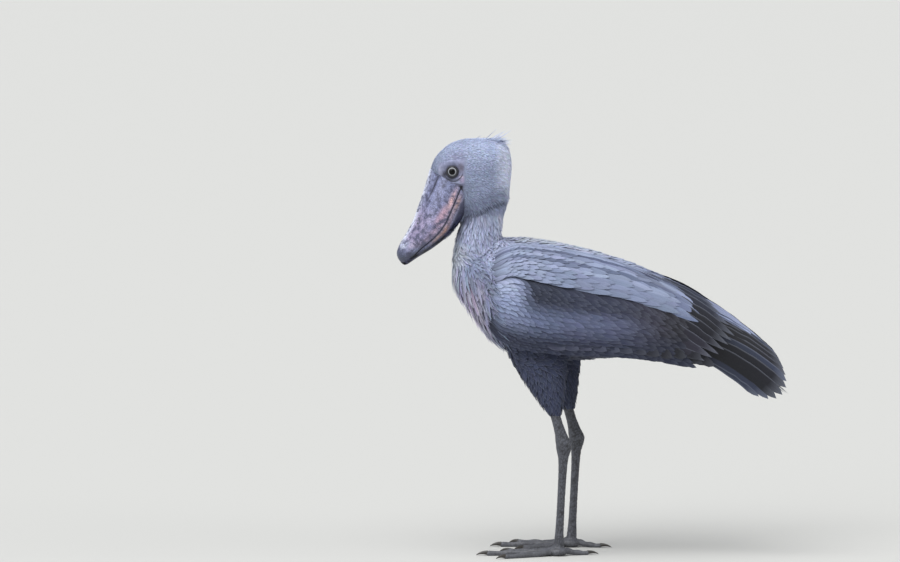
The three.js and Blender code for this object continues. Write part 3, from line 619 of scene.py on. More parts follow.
def block(name, ends):
    count = len(ends[0])
    corners = [*range(count), *range(2 * count - 1, count - 1, -1)]
    sizes = [count, count]
    for i in range(count):
        k = (i + 1) % count
        corners += [i, i + count, k + count, k]
        sizes.append(4)
    piece = mesh_of(name, settled(np.concatenate(ends)), corners, sizes)
    return edited(piece, bpy.ops.mesh.normals_make_consistent, inside=False)


def through_bill(name, outline):
    return block(name, [[(x, y, z) for x, z in outline] for y in (-200.0, 200.0)])


def cut_by(piece, tool, how):
    finished(piece, "BOOLEAN", operation=how, object=tool, solver="EXACT")
    bpy.data.objects.remove(tool)


horn_along = -34 + 219 * (1 - (1 - np.linspace(0, 1, 120)) ** 1.3)
middle, across, up = bill_section(horn_along, turns(144))
along = horn_along[:, None] + 0 * across
past = mouth_gap(along, middle + up)
thin = step(between(BILL, horn_along)[:, 2:], 10, 36)
lip = 0.9 * hump(past - 3.5, 2.6) - 0.7 * hump(past - 9.5, 2.2)
lip += 0.6 * hump(past + 4.5, 2.4) - 0.8 * hump(past + 9.5, 2.0)
lip += 0.5 * hump(past + 15, 3.0)
dents = np.zeros(across.shape)
for i, j in np.ndindex(dents.shape):
    high = middle[i, 0] + up[i, j]
    spot = (along[i, j] / DENT_LONG, across[i, j] / DENT_WIDE, high / DENT_WIDE)
    dents[i, j] = noise.noise(Vector(spot)) + 0.5 * noise.noise(Vector(spot) * 2.7)
swell = (lip * thin + DENT_DEPTH * dents * thin) / np.maximum(np.abs(across), 8)
across = across * (1 + swell)
horn = tube("horn", bill_point(along, middle + up, across))
cut_by(horn, through_bill("face_edge", FACE_EDGE), "INTERSECT")
slit = []
for sign in (0.5, -0.5):
    edge = []
    for at, high in MOUTH:
        past_tip = min(max((at - 168) / 6, 0), 1)
        shift = sign * SLIT
        x, _, z = bill_point(at + past_tip * shift, high + (1 - past_tip) * shift, 0.0)
        edge.append((x, z))
    slit += edge if sign > 0 else edge[::-1]
cut_by(horn, through_bill("mouth", slit), "DIFFERENCE")
for side in SIDES.values():
    opening = []
    for t in np.linspace(0, 1, 9):
        wide = 1.5 * math.sin(math.pi * min(0.12 + t, 1) * 0.9 + 0.1) + 0.35
        opening.append((NOSTRIL_FROM + (NOSTRIL_TO - NOSTRIL_FROM) * t, wide))
    ring = opening + [(at, -wide) for at, wide in opening[::-1]]
    ends = [
        [bill_point(at, high, side * (groove_at(at) + wide)) for at, wide in ring] for high in (16, 54)
    ]
    cut_by(horn, block("nostril", ends), "DIFFERENCE")
edited(horn, bpy.ops.mesh.separate, type="LOOSE")
halves = sorted(bpy.context.selected_objects, key=lambda half: -len(half.data.vertices))
bill_upper, bill_lower = sorted(halves[:2], key=lambda half: places(half)[:, 0].mean())
for crumb in halves[2:]:
    low, high = places(crumb).min(0), places(crumb).max(0)
    if low[0] < -267 < high[0] + 1 and high[2] > 770:
        bill_lower = joined("bill_lower", [bill_lower, crumb])
    else:
        bpy.data.objects.remove(crumb)

HORN_MARKS = (
    (12, 8, 20, 5, "#c09c98", 0.85), (10, -7, 14, 4, "#b9988f", 0.8), (55, 16, 20, 7, "#b492a0", 0.75),
    (73, -8, 16, 4, "#b78d78", 0.85), (97, -6, 14, 3.5, "#a98c7e", 0.75), (40, 12, 10, 6, "#b994a0", 0.6),
    (124, 5, 14, 5, "#2f2e3a", 0.8), (85, 22, 9, 7, "#5c6384", 0.7), (104, 9, 10, 5, "#4b4a5e", 0.6),
    # the first mark in this row, pale and high near the hook, is a painted highlight
    (151, 29, 12, 4, "#c3c9da", 0.8), (138, 19, 13, 5, "#b0a6be", 0.7),
    (160, 6, 12, 6, "#20242e", 0.85), (32, 30, 12, 7, "#5b5d80", 0.6), (112, 18, 12, 5, "#565a7a", 0.6),
)  # along the bill, above the mouth, half sizes, colour, strength


def horn_colours(points):
    along, dorsal = bill_place(points[:, 0], points[:, 2])
    past = mouth_gap(along, dorsal)
    top, low, _ = between(BILL, along).T
    rosy = hump(past - 7, 6) * step(along, -30, 10) * step(140 - along, 0, 50)
    under = hump(past + 5, 5.5) * step(along, -20, 10) * step(120 - along, 0, 30)
    colour = painted(
        points, "#777b99",
        ("#747a98", step(20 - along, 0, 40)),
        ("#8c84a0", step(along, 40, 90) * step(past, 0, 14) * step(150 - along, 0, 20)),
        # painted highlight along the top of the ridge
        ("#c6cbdd", hump(dorsal - top, 5)),
        ("#a98f9f", 0.6 * rosy),
        ("#a08e98", 0.7 * under),
        # painted shade on the lower mandible, well below the mouth
        ("#2b2b38", step(-past, 10, 17) * 0.85),
        ("#565e74", step(along, 118, 150) * step(14 - past, 0, 12) * 0.8),
    )
    # painted shade along the mouth slit and in the small grooves above and below it
    rim = hump(past, 1.8) + 0.5 * hump(past + 9.6, 1.3)
    rim += 0.35 * hump(past - 10, 1.1) * step(along, 0, 30)
    # painted shade in the groove along each side of the keel
    groove = hump(np.abs(points[:, 1]) - groove_at(along), 3.0) * step(dorsal, 5, 14)
    groove *= 1 - 0.6 * step(along, 26, 60)
    return tinted(
        dabbed(colour, HORN_MARKS, along, past),
        ("#343b4e", 0.9 * step(along + 0.25 * past, 154, 178)),
        # painted shade: the lower edge of the bill near black, as its shaded underside
        ("#0e0e13", step(12 - (dorsal - low), -2, 5) * step(along, 10, 45) * 0.96),
        # painted shade in the mouth slit, the lip grooves and the side groove
        ("#201f28", np.clip(0.85 * rim + 0.85 * groove, 0, 1)),
    )


# Horn: hard and smooth, with a dull shine, mottled in blotches of a few millimetres that are drawn
# out along the bill, and worn into fine pale scratches. Where its colour is darkest, as in the painted
# shade along the mouth and underside, it has no shine.
BLOTCH, SCRATCH = 12.0, 2.38
bill_horn = material_of("bill horn")
marks = node(bill_horn, "Attribute", {"attribute_name": "plumage"})
place = node(bill_horn, "TexCoord", output="Object")
along_bill = node(
    bill_horn, "Mapping",
    {"Rotation": (0, -BILL_PITCH, 0), "Scale": (0.33, 1.0, 1.0), "vector_type": "TEXTURE"},
    {"Vector": place},
)
stretch = node(bill_horn, "Mapping", {"Scale": (0.35, 1.0, 1.0)}, {"Vector": along_bill})
blotches = node(
    bill_horn, "TexNoise", {"Scale": 1000 / BLOTCH, "Detail": 6.0, "Roughness": 0.65},
    {"Vector": stretch},
)
darkness = node(
    bill_horn, "MapRange", {"From Min": 0.45, "From Max": 0.6, "To Min": 0.0, "To Max": 0.9},
    {"Value": blotches},
)
mottled = node(bill_horn, "MixRGB", {"Color2": "#41435a"}, {"Color1": marks, "Fac": darkness})
scratches = node(bill_horn, "TexNoise", {"Scale": 1000 / SCRATCH, "Detail": 4.0}, {"Vector": stretch})
paleness = node(
    bill_horn, "MapRange", {"From Min": 0.5, "From Max": 0.66, "To Min": 0.0, "To Max": 0.8},
    {"Value": scratches},
)
worn = node(
    bill_horn, "MixRGB", {"blend_type": "OVERLAY", "Color2": "#f4f4fb"},
    {"Color1": mottled, "Fac": paleness},
)
rough = node(bill_horn, "Bump", {"Strength": 0.5, "Distance": 0.0008}, {"Height": scratches})
# less shine where the colour is darkest, as on the painted shade and the darkest marks
shine = node(
    bill_horn, "MapRange", {"From Min": 0.005, "From Max": 0.04, "To Min": 0.0, "To Max": 0.5},
    {"Value": marks},
)
surfaced(
    bill_horn, {"Roughness": 0.42}, {"Base Color": worn, "Normal": rough, "Specular IOR Level": shine}
)
for half, name in ((bill_upper, "bill_upper"), (bill_lower, "bill_lower")):
    half.name = half.data.name = name + "_horn"
    coloured(half, horn_colours(places(half)))
    half.data.materials.append(bill_horn)
    only(half)
    bpy.ops.object.shade_smooth_by_angle(angle=math.radians(42))
    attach(half, "root")
    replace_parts(half, name)

# EYES. A clear bulging ball with a pale grey iris round a wide pupil, set in a ring of bare wrinkled
# skin that folds into an upper and a lower lid.
EYE_RADIUS, IRIS, PUPIL, OUTWARD = 13.0, 8.8, 5.9, 0.2
IRIS_RING, LID_RING, LID_THICK, LID_OUT = 7.1, 11.1, 2.0, 7.9

# Wet eye: clear and glossy. The iris is drawn in fine pale spokes and ends in a dark ring round the
# black pupil; outside it the ball is near black, so that it vanishes behind the lids.
SPOKES = (26.0, 2.2, 1.0)
eye_gloss = material_of("wet eye")
round_eyeball = node(eye_gloss, "UVMap", {"uv_map": "UVMap"})
forward = node(eye_gloss, "SeparateXYZ", {}, {"Vector": round_eyeball}, "Y")
spokes = node(eye_gloss, "Mapping", {"Scale": SPOKES}, {"Vector": round_eyeball})
fibres = node(eye_gloss, "TexNoise", {"Scale": 2.4, "Detail": 4.0}, {"Vector": spokes})
iris_colour = node(eye_gloss, "MixRGB", {"Color1": "#7b7d84", "Color2": "#b3b5ba"}, {"Fac": fibres})
inside = []
for radius, before, after in ((IRIS, 0.012, 0.008), (IRIS_RING, 0.008, 0.012), (PUPIL, 0.01, 0.005)):
    share = 1 - math.asin(radius / EYE_RADIUS) / math.pi
    inside.append(node(
        eye_gloss, "MapRange", {"From Min": share - before, "From Max": share + after},
        {"Value": forward},
    ))
ringed = node(eye_gloss, "MixRGB", {"Color2": "#3e3f40"}, {"Color1": iris_colour, "Fac": inside[1]})
outer = node(eye_gloss, "MixRGB", {"Color1": "#191a1e"}, {"Color2": ringed, "Fac": inside[0]})
whole_eye = node(eye_gloss, "MixRGB", {"Color2": "#050506"}, {"Color1": outer, "Fac": inside[2]})
surfaced(
    eye_gloss, {"Roughness": 0.1, "Specular IOR Level": 0.3, "IOR": 1.36}, {"Base Color": whole_eye}
)

# Lid skin: black, moist and finely wrinkled, the wrinkles about a millimetre apart.
WRINKLE = 1.11
lid_skin = material_of("dark lid skin")
place = node(lid_skin, "TexCoord", output="Object")
wrinkles = node(lid_skin, "TexNoise", {"Scale": 1000 / WRINKLE, "Detail": 3.0}, {"Vector": place})
lid_colour = node(lid_skin, "MixRGB", {"Color1": "#111115", "Color2": "#30303a"}, {"Fac": wrinkles})
wrinkled = node(lid_skin, "Bump", {"Strength": 0.6, "Distance": 0.0006}, {"Height": wrinkles})
surfaced(lid_skin, {"Roughness": 0.45}, {"Base Color": lid_colour, "Normal": wrinkled})
for name, side in SIDES.items():
    centre = np.array([EYEBALL[0], side * EYEBALL[1], EYEBALL[2]])
    look = np.array([-math.sin(OUTWARD), side * math.cos(OUTWARD), 0.0])
    turned = Vector((0, 0, 1)).rotation_difference(Vector(look)).to_matrix()
    bpy.ops.object.select_all(action="DESELECT")
    bpy.ops.mesh.primitive_uv_sphere_add(segments=64, ring_count=48, radius=EYE_RADIUS)
    ball = bpy.context.object
    ball.data.name = ball.name = "eyeball_" + name
    shape = np.array([vertex.co for vertex in ball.data.vertices])
    rise = shape[:, 2] / EYE_RADIUS
    shape *= (1 + 0.035 * hump(1 - rise, 0.12))[:, None]
    moved_to(ball, shape @ np.array(turned).T + centre)
    ball.data.materials.append(eye_gloss)
    bpy.ops.object.shade_smooth()
    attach(ball, "root")
    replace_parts(ball, "eye_" + name)
    bpy.ops.object.select_all(action="DESELECT")
    bpy.ops.mesh.primitive_torus_add(
        major_segments=72, minor_segments=18, major_radius=LID_RING, minor_radius=LID_THICK
    )
    lids = bpy.context.object
    lids.data.name = lids.name = "lids_" + name
    shape = np.array([vertex.co for vertex in lids.data.vertices])
    angle = np.arctan2(shape[:, 1], shape[:, 0])
    radius = np.hypot(shape[:, 0], shape[:, 1])
    level = np.array((Vector((0, 0, 1)) @ turned)[:])
    up_share = (shape / np.linalg.norm(shape, axis=1)[:, None]) @ level
    height = shape[:, 2] * (1 + 0.35 * np.clip(up_share, 0, 1)) - 0.10 * (radius - LID_RING) ** 2
    height += 0.28 * np.sin(9 * angle + 2 * radius) * np.cos(5 * angle) * (radius > LID_RING)
    inward = 1 - 0.05 * np.clip(up_share, 0, 1) - 0.03 * np.clip(-up_share, 0, 1)
    shape[:, :2] *= inward[:, None]
    shape[:, 2] = height + LID_OUT
    moved_to(lids, shape @ np.array(turned).T + centre)
    lids.data.materials.append(lid_skin)
    bpy.ops.object.shade_smooth()
    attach(lids, "root")

# LEGS AND FEET. Long bare legs in dark grey skin of small many-sided scales, with rows of broad
# plates along the top of the long thin toes. Each leg is one skin from thigh feathers to toe ends.
SHANK = np.array([
    (8, 11, 12), (24, 10.5, 11), (60, 8.6, 8.2), (150, 8.4, 8), (205, 10.5, 10), (228, 16, 13.5),
    (240, 16.5, 14), (256, 13, 12), (280, 11, 10.5), (322, 11, 10),
], float)  # height, half depth, half breadth
PALM_RADIUS, PALM_HIGH, FLAT = 20, 21, 1.1
TOES = {
    "middle": (0, 152, 8.6, 22), "inner": (26, 118, 7.8, 20), "outer": (-25, 127, 7.8, 19),
    "hind": (168, 66, 7.4, 22),
}  # turn, length, half breadth, claw
LEG_VOXEL, SCALE_WIDE, PLATE_LONG, RELIEF = 0.0016, 5.0, 6.2, 0.75


def toe_point(foot, turn, reach, across, high):
    x = foot[0] - math.cos(turn) * reach + math.sin(turn) * across
    y = foot[1] - math.sin(turn) * reach - math.cos(turn) * across
    return np.stack(np.broadcast_arrays(x, y, high), -1)


def toe_rings(foot, side, toe):
    degrees, length, wide, _ = TOES[toe]
    turn = side * math.radians(degrees)
    reach = np.linspace(4, length, 60)[:, None]
    t = reach / length
    knuckle = 1 + 0.09 * np.cos(2 * np.pi * 3 * t)
    half = wide * (1 - 0.36 * t) * knuckle
    end = np.sqrt(np.clip(1 - ((t - 0.96) / 0.045).clip(0, 1) ** 2, 0.12, 1))
    lift = np.maximum(0, 1 - reach / 45) * 7
    angle = turns(24)
    return toe_point(
        foot, turn, reach, half * end * np.cos(angle), half - FLAT + lift + half * end * np.sin(angle)
    )


# Leg skin: matt and dark, its scales modelled; the colour drifts a little over a centimetre, and a
# fine grain, finer than the scales, breaks up the shine.
LEG_PATCH, GRAIN = 11.11, 0.714
leg_skin = material_of("scaly leg skin")
marks = node(leg_skin, "Attribute", {"attribute_name": "plumage"})
place = node(leg_skin, "TexCoord", output="Object")
tones = node(leg_skin, "TexNoise", {"Scale": 1000 / LEG_PATCH, "Detail": 6.0}, {"Vector": place})
tone_share = node(
    leg_skin, "MapRange", {"From Min": 0.3, "From Max": 0.7, "To Min": 0.7, "To Max": 1.3},
    {"Value": tones},
)
leg_tone = node(
    leg_skin, "MixRGB", {"blend_type": "MULTIPLY", "Fac": 1.0}, {"Color1": marks, "Color2": tone_share}
)
grain = node(leg_skin, "TexNoise", {"Scale": 1000 / GRAIN, "Detail": 2.0}, {"Vector": place})
grained = node(leg_skin, "Bump", {"Strength": 0.3, "Distance": 0.0003}, {"Height": grain})
surfaced(leg_skin, {"Roughness": 0.5}, {"Base Color": leg_tone, "Normal": grained})

# Claw horn: smooth, near black, with a faint brown bloom in bands about four millimetres wide.
CLAW_BAND = 3.85
claw_horn = material_of("claw horn")
place = node(claw_horn, "TexCoord", output="Object")
bands = node(claw_horn, "TexNoise", {"Scale": 1000 / CLAW_BAND, "Detail": 4.0}, {"Vector": place})
claw_colour = node(claw_horn, "MixRGB", {"Color1": "#1c1a19", "Color2": "#3d3934"}, {"Fac": bands})
surfaced(claw_horn, {"Roughness": 0.38, "Coat Weight": 0.15}, {"Base Color": claw_colour})
for name, side in SIDES.items():
    foot = FEET[name]
    angle = turns(28)
    palm = []
    for t in np.linspace(0.04, 0.96, 18):
        wide = PALM_RADIUS * math.sin(math.pi * t)
        high = PALM_HIGH / 2 - 1 - PALM_HIGH / 2 * math.cos(math.pi * t)
        ring = (foot[0] + wide * np.cos(angle), foot[1] + wide * np.sin(angle), high)
        palm.append(np.stack(np.broadcast_arrays(*ring), -1))
    forms = [tube("leg", limb_rings(SHANK, foot, 0, 110, 28)), tube("leg", palm)]
    forms += [tube("leg", toe_rings(foot, side, toe)) for toe in TOES]
    leg = joined("leg_skin_" + name, forms)
    finished(leg, "REMESH", mode="VOXEL", voxel_size=LEG_VOXEL, use_smooth_shade=True)
    finished(leg, "SMOOTH", factor=0.5, iterations=4)
    points = places(leg)
    outward = facing(leg)
    raised = np.zeros(len(points))
    for i, point in enumerate(points):
        near = noise.voronoi(Vector(point * (1, 1, 0.8)) / SCALE_WIDE)[0]
        raised[i] = min((near[1] - near[0]) / 0.22, 1)
    x, y, z = points.T
    plates = np.zeros(len(points))
    on_toe = np.zeros(len(points))
    for toe, (degrees, length, wide, _) in TOES.items():
        turn = side * math.radians(degrees)
        reach = -(x - foot[0]) * math.cos(turn) - (y - foot[1]) * math.sin(turn)
        across = (x - foot[0]) * math.sin(turn) - (y - foot[1]) * math.cos(turn)
        here = (np.abs(across) < wide) * (reach > 16) * (z < 26)
        saw = (reach / PLATE_LONG) % 1
        plate = step(saw, 0, 0.14) * (1 - 0.4 * saw)
        top = step(outward[:, 2], 0.25, 0.6)
        plates = np.where(here, np.maximum(plates, plate * top), plates)
        on_toe = np.where(here, np.maximum(on_toe, top), on_toe)
    front = step(-outward[:, 0], 0.4, 0.75) * step(z, 26, 40) * (1 - on_toe)
    saw = (z / (1.15 * PLATE_LONG)) % 1
    plates = plates * on_toe + front * step(saw, 0, 0.12) * (1 - on_toe)
    scaled = raised * (1 - on_toe) * (1 - front) + plates
    points = points + (RELIEF * (scaled - 0.6) * (z > 1.5))[:, None] * outward
    points[:, 2] = np.maximum(points[:, 2], 0)
    moved_to(leg, points)
    colour = painted(
        points, "#4a4c54", ("#1e1f23", 1 - np.clip(scaled, 0, 1)), ("#5a5b60", 0.5 * step(30 - z, 0, 20))
    )
    coloured(leg, colour)
    leg.data.materials.append(leg_skin)
    only(leg)
    bpy.ops.object.shade_smooth()
    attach(leg, "root")
    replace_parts(leg, "shank_" + name, *(f"toe_{toe}_{name}" for toe in TOES))
    for toe, (degrees, length, wide, claw) in TOES.items():
        turn = side * math.radians(degrees)
        t = np.linspace(0, 1, 22)[:, None]
        root = wide * 0.64 * 1.09
        half = root * 0.8 * (1 - t) ** 0.7 + 0.25
        high = (root - FLAT + 1.2) * (1 - t) ** 0.6 + 0.9 * t + 1.6 * np.sin(math.pi * t)
        angle = turns(20)
        keel = 1 + 0.12 * (np.sin(angle) < -0.3)
        rings = toe_point(
            foot, turn, length - 3.0 + (claw + 3.0) * t, half * 0.8 * np.cos(angle) * keel,
            np.maximum(high + half * np.sin(angle), 0.02),
        )
        nail = tube(f"claw_horn_{toe}_{name}", rings)
        nail.data.materials.append(claw_horn)
        only(nail)
        bpy.ops.object.shade_smooth()
        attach(nail, "root")
        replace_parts(nail, f"claw_{toe}_{name}")

# BODY FEATHERS. Every feather is a thin closed blade with a raised shaft, rooted in the skin and lying
# back over the next ones. They are laid in coats: tiny on the head, small and loose on the neck, long
# pointed plumes on the breast, broad ones on back, belly and thighs.
PATCH, ROOT_SUNK = 0.003, 1.2
LENGTH_SPREAD, LIFT_SPREAD, BREADTH_SPREAD = 0.14, 0.22, 0.12
NARROW_RING = np.array([(-1, 0), (0, 1), (1, 0)], float)
BROAD_RING = np.array(
    [(-1, 0), (-0.55, 0.75), (0, 1), (0.55, 0.75), (1, 0), (0.5, -0.6), (0, -0.9), (-0.5, -0.6)], float
)
ROUNDED = np.array([(0, 0.2), (0.08, 0.5), (0.34, 0.92), (0.6, 1), (0.82, 0.82), (0.94, 0.5), (1, 0.1)])
LOOSE = np.array([(0, 0.2), (0.08, 0.5), (0.3, 0.95), (0.52, 1), (0.74, 0.7), (0.9, 0.3), (1, 0.04)])
POINTED = np.array([(0, 0.2), (0.1, 0.55), (0.32, 1), (0.55, 0.9), (0.76, 0.55), (0.91, 0.22), (1, 0.02)])

surface = BVHTree.FromObject(skin, bpy.context.evaluated_depsgraph_get())
skin_mesh = skin.data
skin_corners = gathered(skin_mesh.loops, "vertex_index", kind=np.int32)
skin_starts = gathered(skin_mesh.polygons, "loop_start", kind=np.int32)
skin_areas = gathered(skin_mesh.polygons, "area")
skin_centres = gathered(skin_mesh.polygons, "center", 3).astype(float) * 1000 - SHIFT
skin_unwrap = gathered(skin_mesh.uv_layers.active.data, "uv", 2)
skin_points = places(skin)


def on_skin(points):
    found, upward, faces = [], [], []
    for point in settled(points):
        spot, normal, face, _ = surface.find_nearest(Vector(point))
        found.append(spot)
        upward.append(normal)
        faces.append(face)
    return np.array(found, float) * 1000 - SHIFT, np.array(upward, float), np.array(faces)


def unwrapped(points, faces):
    flat = []
    for point, face in zip(points, faces):
        start = skin_starts[face]
        corners = slice(start, start + 3)
        a, b, c = skin_points[skin_corners[corners]]
        edges = np.stack((b - a, c - a), 1)
        share = np.linalg.lstsq(edges, point - a, rcond=None)[0].clip(0, 1)
        first, second, third = skin_unwrap[corners]
        flat.append(first + share[0] * (second - first) + share[1] * (third - first))
    return np.array(flat)


CELLS_AROUND = list(itertools.product((-1, 0, 1), repeat=3))
DRAWS_PER_ROOT = 3.2


def scattered(wanted, spacing, seed):
    dice = np.random.default_rng(seed)
    areas = skin_areas * 1e6 * (wanted > 0.5)
    count = int(DRAWS_PER_ROOT * areas.sum() / spacing ** 2)
    picked = dice.choice(len(areas), count, p=areas / areas.sum())
    corner = skin_starts[picked]
    weights = dice.dirichlet((1, 1, 1), count)
    spots = sum(weights[:, k:k + 1] * skin_points[skin_corners[corner + k]] for k in range(3))
    kept, taken = [], {}
    for i, spot in enumerate(spots):
        a, b, c = (spot // spacing).astype(int).tolist()
        near = (
            spots[other] - spot
            for over_a, over_b, over_c in CELLS_AROUND
            for other in taken.get((a + over_a, b + over_b, c + over_c), ())
        )
        if not any(gap @ gap < spacing * spacing for gap in near):
            kept.append(i)
            taken.setdefault((a, b, c), []).append(i)
    return spots[kept]


def lie(points):
    x, _, z = points.T
    flow = np.zeros(points.shape) + (1.0, 0.0, -0.32)
    for share, turned_to in (
        (step(up_neck(x, z), 600, 680) * step(-x, 120, 190), (0.18, 0, -1.0)),
        (step(z, 712, 770) * step(-x, 120, 150), (1.0, 0, -0.42)),
        (step(-x, 190, 262) * step(640 - z, 0, 40), (0.50, 0, -1.0)),
        (
            step(x, -256, -240) * step(-x, 186, 200) * step(z, 525, 545) * step(625 - z, 0, 20),
            (1.0, 0, -0.85),
        ),
        (step(420 - z, 0, 30), (0.25, 0, -1.0)),
    ):
        flow += share[:, None] * (np.array(turned_to) - flow)
    return flow  # neck, head, breast, shoulder and thigh, each over the one before


def upright_to(vectors, ups):
    across = np.cross(vectors, ups)
    return across / np.linalg.norm(across, axis=2, keepdims=True)


def woven(name, lines, ups, halves, thick, ring, colours, flat, camber=0.0):
    count, stations = lines.shape[:2]
    across = upright_to(np.gradient(lines, axis=1), ups)
    inner = slice(1, stations - 1)
    rows = lines[:, inner, None, :] + across[:, inner, None, :] * (
        halves[:, inner, None, None] * ring[None, None, :, :1]
    )
    lift = thick * ring[:, 1] - camber * halves[:, inner, None] * ring[:, 0] ** 2
    rows = rows + ups[:, inner, None, :] * lift[..., None]
    sides = len(ring)
    body = rows.reshape(count, -1, 3)
    points = np.concatenate((body, lines[:, :1], lines[:, -1:]), 1)
    corners, sizes = tube_corners(stations - 2, sides)
    each = points.shape[1]
    all_corners = (np.array(corners)[None] + each * np.arange(count)[:, None]).ravel()
    piece = mesh_of(name, settled(points), all_corners, np.tile(sizes, count))
    shares = np.linspace(0, 1, stations)
    u = np.concatenate((np.tile(ring[:, 0] / 2 + 0.5, stations - 2), (0.5, 0.5)))
    v = np.concatenate((np.repeat(shares[inner], sides), (0, 1)))
    chart = np.stack((u, v), 1)[np.array(corners)]
    feather_map = piece.data.uv_layers.new(name="feather")
    feather_map.data.foreach_set("uv", np.tile(chart, (count, 1)).astype(np.float32).ravel())
    bake_map = piece.data.uv_layers.new(name="OFBake")
    spots = flat[:, None, :] + PATCH * (chart[None] - 0.5)
    bake_map.data.foreach_set("uv", spots.astype(np.float32).ravel())
    coloured(piece, np.repeat(colours, each, axis=0))
    only(piece)
    bpy.ops.object.shade_smooth_by_angle(angle=math.radians(50))
    return piece


def bell(dice, shape):
    return dice.standard_normal(shape).clip(-2, 2)


def toned(colours, dice, spread):
    tone = 1 + spread * bell(dice, len(colours))
    hue = 1 + 0.3 * spread * bell(dice, colours.shape)
    return colours * tone[:, None] * hue


def at_roots(rule, roots):
    return (rule(*roots.T) if callable(rule) else rule) * np.ones(len(roots))


def coat(name, place, spacing, length, half, lift, profile, seed, material, look):
    dice = np.random.default_rng(seed + 100)
    roots, upward, faces = on_skin(scattered(places_for_coats(skin_centres)[place], spacing, seed))
    flow = lie(roots) + look["ruffle"] * bell(dice, roots.shape)
    flow -= upward * (flow * upward).sum(1, keepdims=True)
    flow /= np.linalg.norm(flow, axis=1, keepdims=True) + 1e-9
    reach = at_roots(length, roots) * (1 + LENGTH_SPREAD * bell(dice, len(roots)))
    middle, middle_up, _ = on_skin(roots + flow * reach[:, None] * 0.5)
    end, end_up, _ = on_skin(roots + flow * reach[:, None])
    kept = (upward * end_up).sum(1) > 0
    roots, upward, faces, middle, middle_up, end, end_up = (
        part[kept] for part in (roots, upward, faces, middle, middle_up, end, end_up)
    )
    t = profile[:, 0][None, :, None]
    blend = (2 * (t - 0.5) * (t - 1), 4 * t * (1 - t), 2 * t * (t - 0.5))
    lines = sum(w * p[:, None] for w, p in zip(blend, (roots, middle, end)))
    ups = sum(w * p[:, None] for w, p in zip(blend, (upward, middle_up, end_up)))
    ups /= np.linalg.norm(ups, axis=2, keepdims=True) + 1e-9
    top = at_roots(lift, roots) * (1 + LIFT_SPREAD * bell(dice, len(roots)))
    rise = -ROOT_SUNK + (top[:, None] + ROOT_SUNK) * profile[:, 0][None] ** 0.85
    lines = lines + ups * rise[..., None]
    halves = at_roots(half, roots)[:, None] * profile[:, 1][None]
    halves = halves * (1 + BREADTH_SPREAD * bell(dice, (len(roots), 1)))
    piece = woven(
        name, lines, ups, halves, look["thick"], NARROW_RING,
        toned(plumage(roots), dice, look["spread"]), unwrapped(roots, faces), look.get("camber", 0.12),
    )
    piece.data.materials.append(material)
    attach(piece, "root")


# Feather: thin horny barbs, matt with a faint sheen. They run slantwise from a darker shaft, a few
# tenths of a millimetre apart, which is drawn coarser so that it shows; the root is in shade, and
# the edge and tip are frayed and paler.
BARB_PATCH = 4.76


def feather_material(name, pale_tip, dark_root, barb, rough, shaft="#000000", shaft_share=0.0):
    material = material_of(name)
    marks = node(material, "Attribute", {"attribute_name": "plumage"})
    chart = node(material, "UVMap", {"uv_map": "feather"})
    length_share = node(material, "SeparateXYZ", {}, {"Vector": chart}, "Y")
    width_share = node(material, "SeparateXYZ", {}, {"Vector": chart}, "X")
    root = node(
        material, "MapRange", {"From Min": 0.25, "From Max": 0.8, "To Min": dark_root, "To Max": 1.0},
        {"Value": length_share},
    )
    off_middle = node(material, "Math", {"operation": "SUBTRACT", 1: 0.5}, {0: width_share})
    sideways = node(material, "Math", {"operation": "ABSOLUTE"}, {0: off_middle})
    slant = node(
        material, "Math", {"operation": "MULTIPLY_ADD", 1: -0.45}, {0: sideways, 2: length_share}
    )
    barbs = node(material, "Math", {"operation": "MULTIPLY", 1: barb}, {0: slant})
    wave = node(material, "Math", {"operation": "SINE"}, {0: barbs})
    place = node(material, "TexCoord", output="Object")
    patchy = node(material, "TexNoise", {"Scale": 1000 / BARB_PATCH, "Detail": 3.0}, {"Vector": place})
    stripes = node(material, "Math", {"operation": "MULTIPLY"}, {0: wave, 1: patchy})
    texture = node(
        material, "MapRange", {"From Min": -0.7, "From Max": 0.7, "To Min": 0.86, "To Max": 1.14},
        {"Value": stripes},
    )
    depth = node(material, "Math", {"operation": "MULTIPLY"}, {0: root, 1: texture})
    shaded = node(
        material, "MixRGB", {"blend_type": "MULTIPLY", "Fac": 1.0}, {"Color1": marks, "Color2": depth}
    )
    tip = node(
        material, "MapRange", {"From Min": 0.8, "From Max": 1.0, "To Min": 0.0, "To Max": 1.0},
        {"Value": length_share},
    )
    edge = node(
        material, "MapRange", {"From Min": 0.36, "From Max": 0.5, "To Min": 0.0, "To Max": 0.8},
        {"Value": sideways},
    )
    rim = node(material, "Math", {"operation": "MAXIMUM"}, {0: tip, 1: edge})
    rim_share = node(material, "Math", {"operation": "MULTIPLY", 1: pale_tip}, {0: rim})
    rimmed = node(material, "MixRGB", {"Color2": "#c9d1e6"}, {"Color1": shaded, "Fac": rim_share})
    on_shaft = node(
        material, "MapRange", {"From Min": 0.015, "From Max": 0.035, "To Min": shaft_share, "To Max": 0.0},
        {"Value": sideways},
    )
    quilled = node(material, "MixRGB", {"Color2": shaft}, {"Color1": rimmed, "Fac": on_shaft})
    barbed = node(material, "Bump", {"Strength": 0.4, "Distance": 0.0004}, {"Height": stripes})
    surfaced(
        material,
        {"Roughness": rough, "Sheen Weight": 0.06, "Sheen Roughness": 0.5, "Specular IOR Level": 0.3},
        {"Base Color": quilled, "Normal": barbed},
    )
    return material


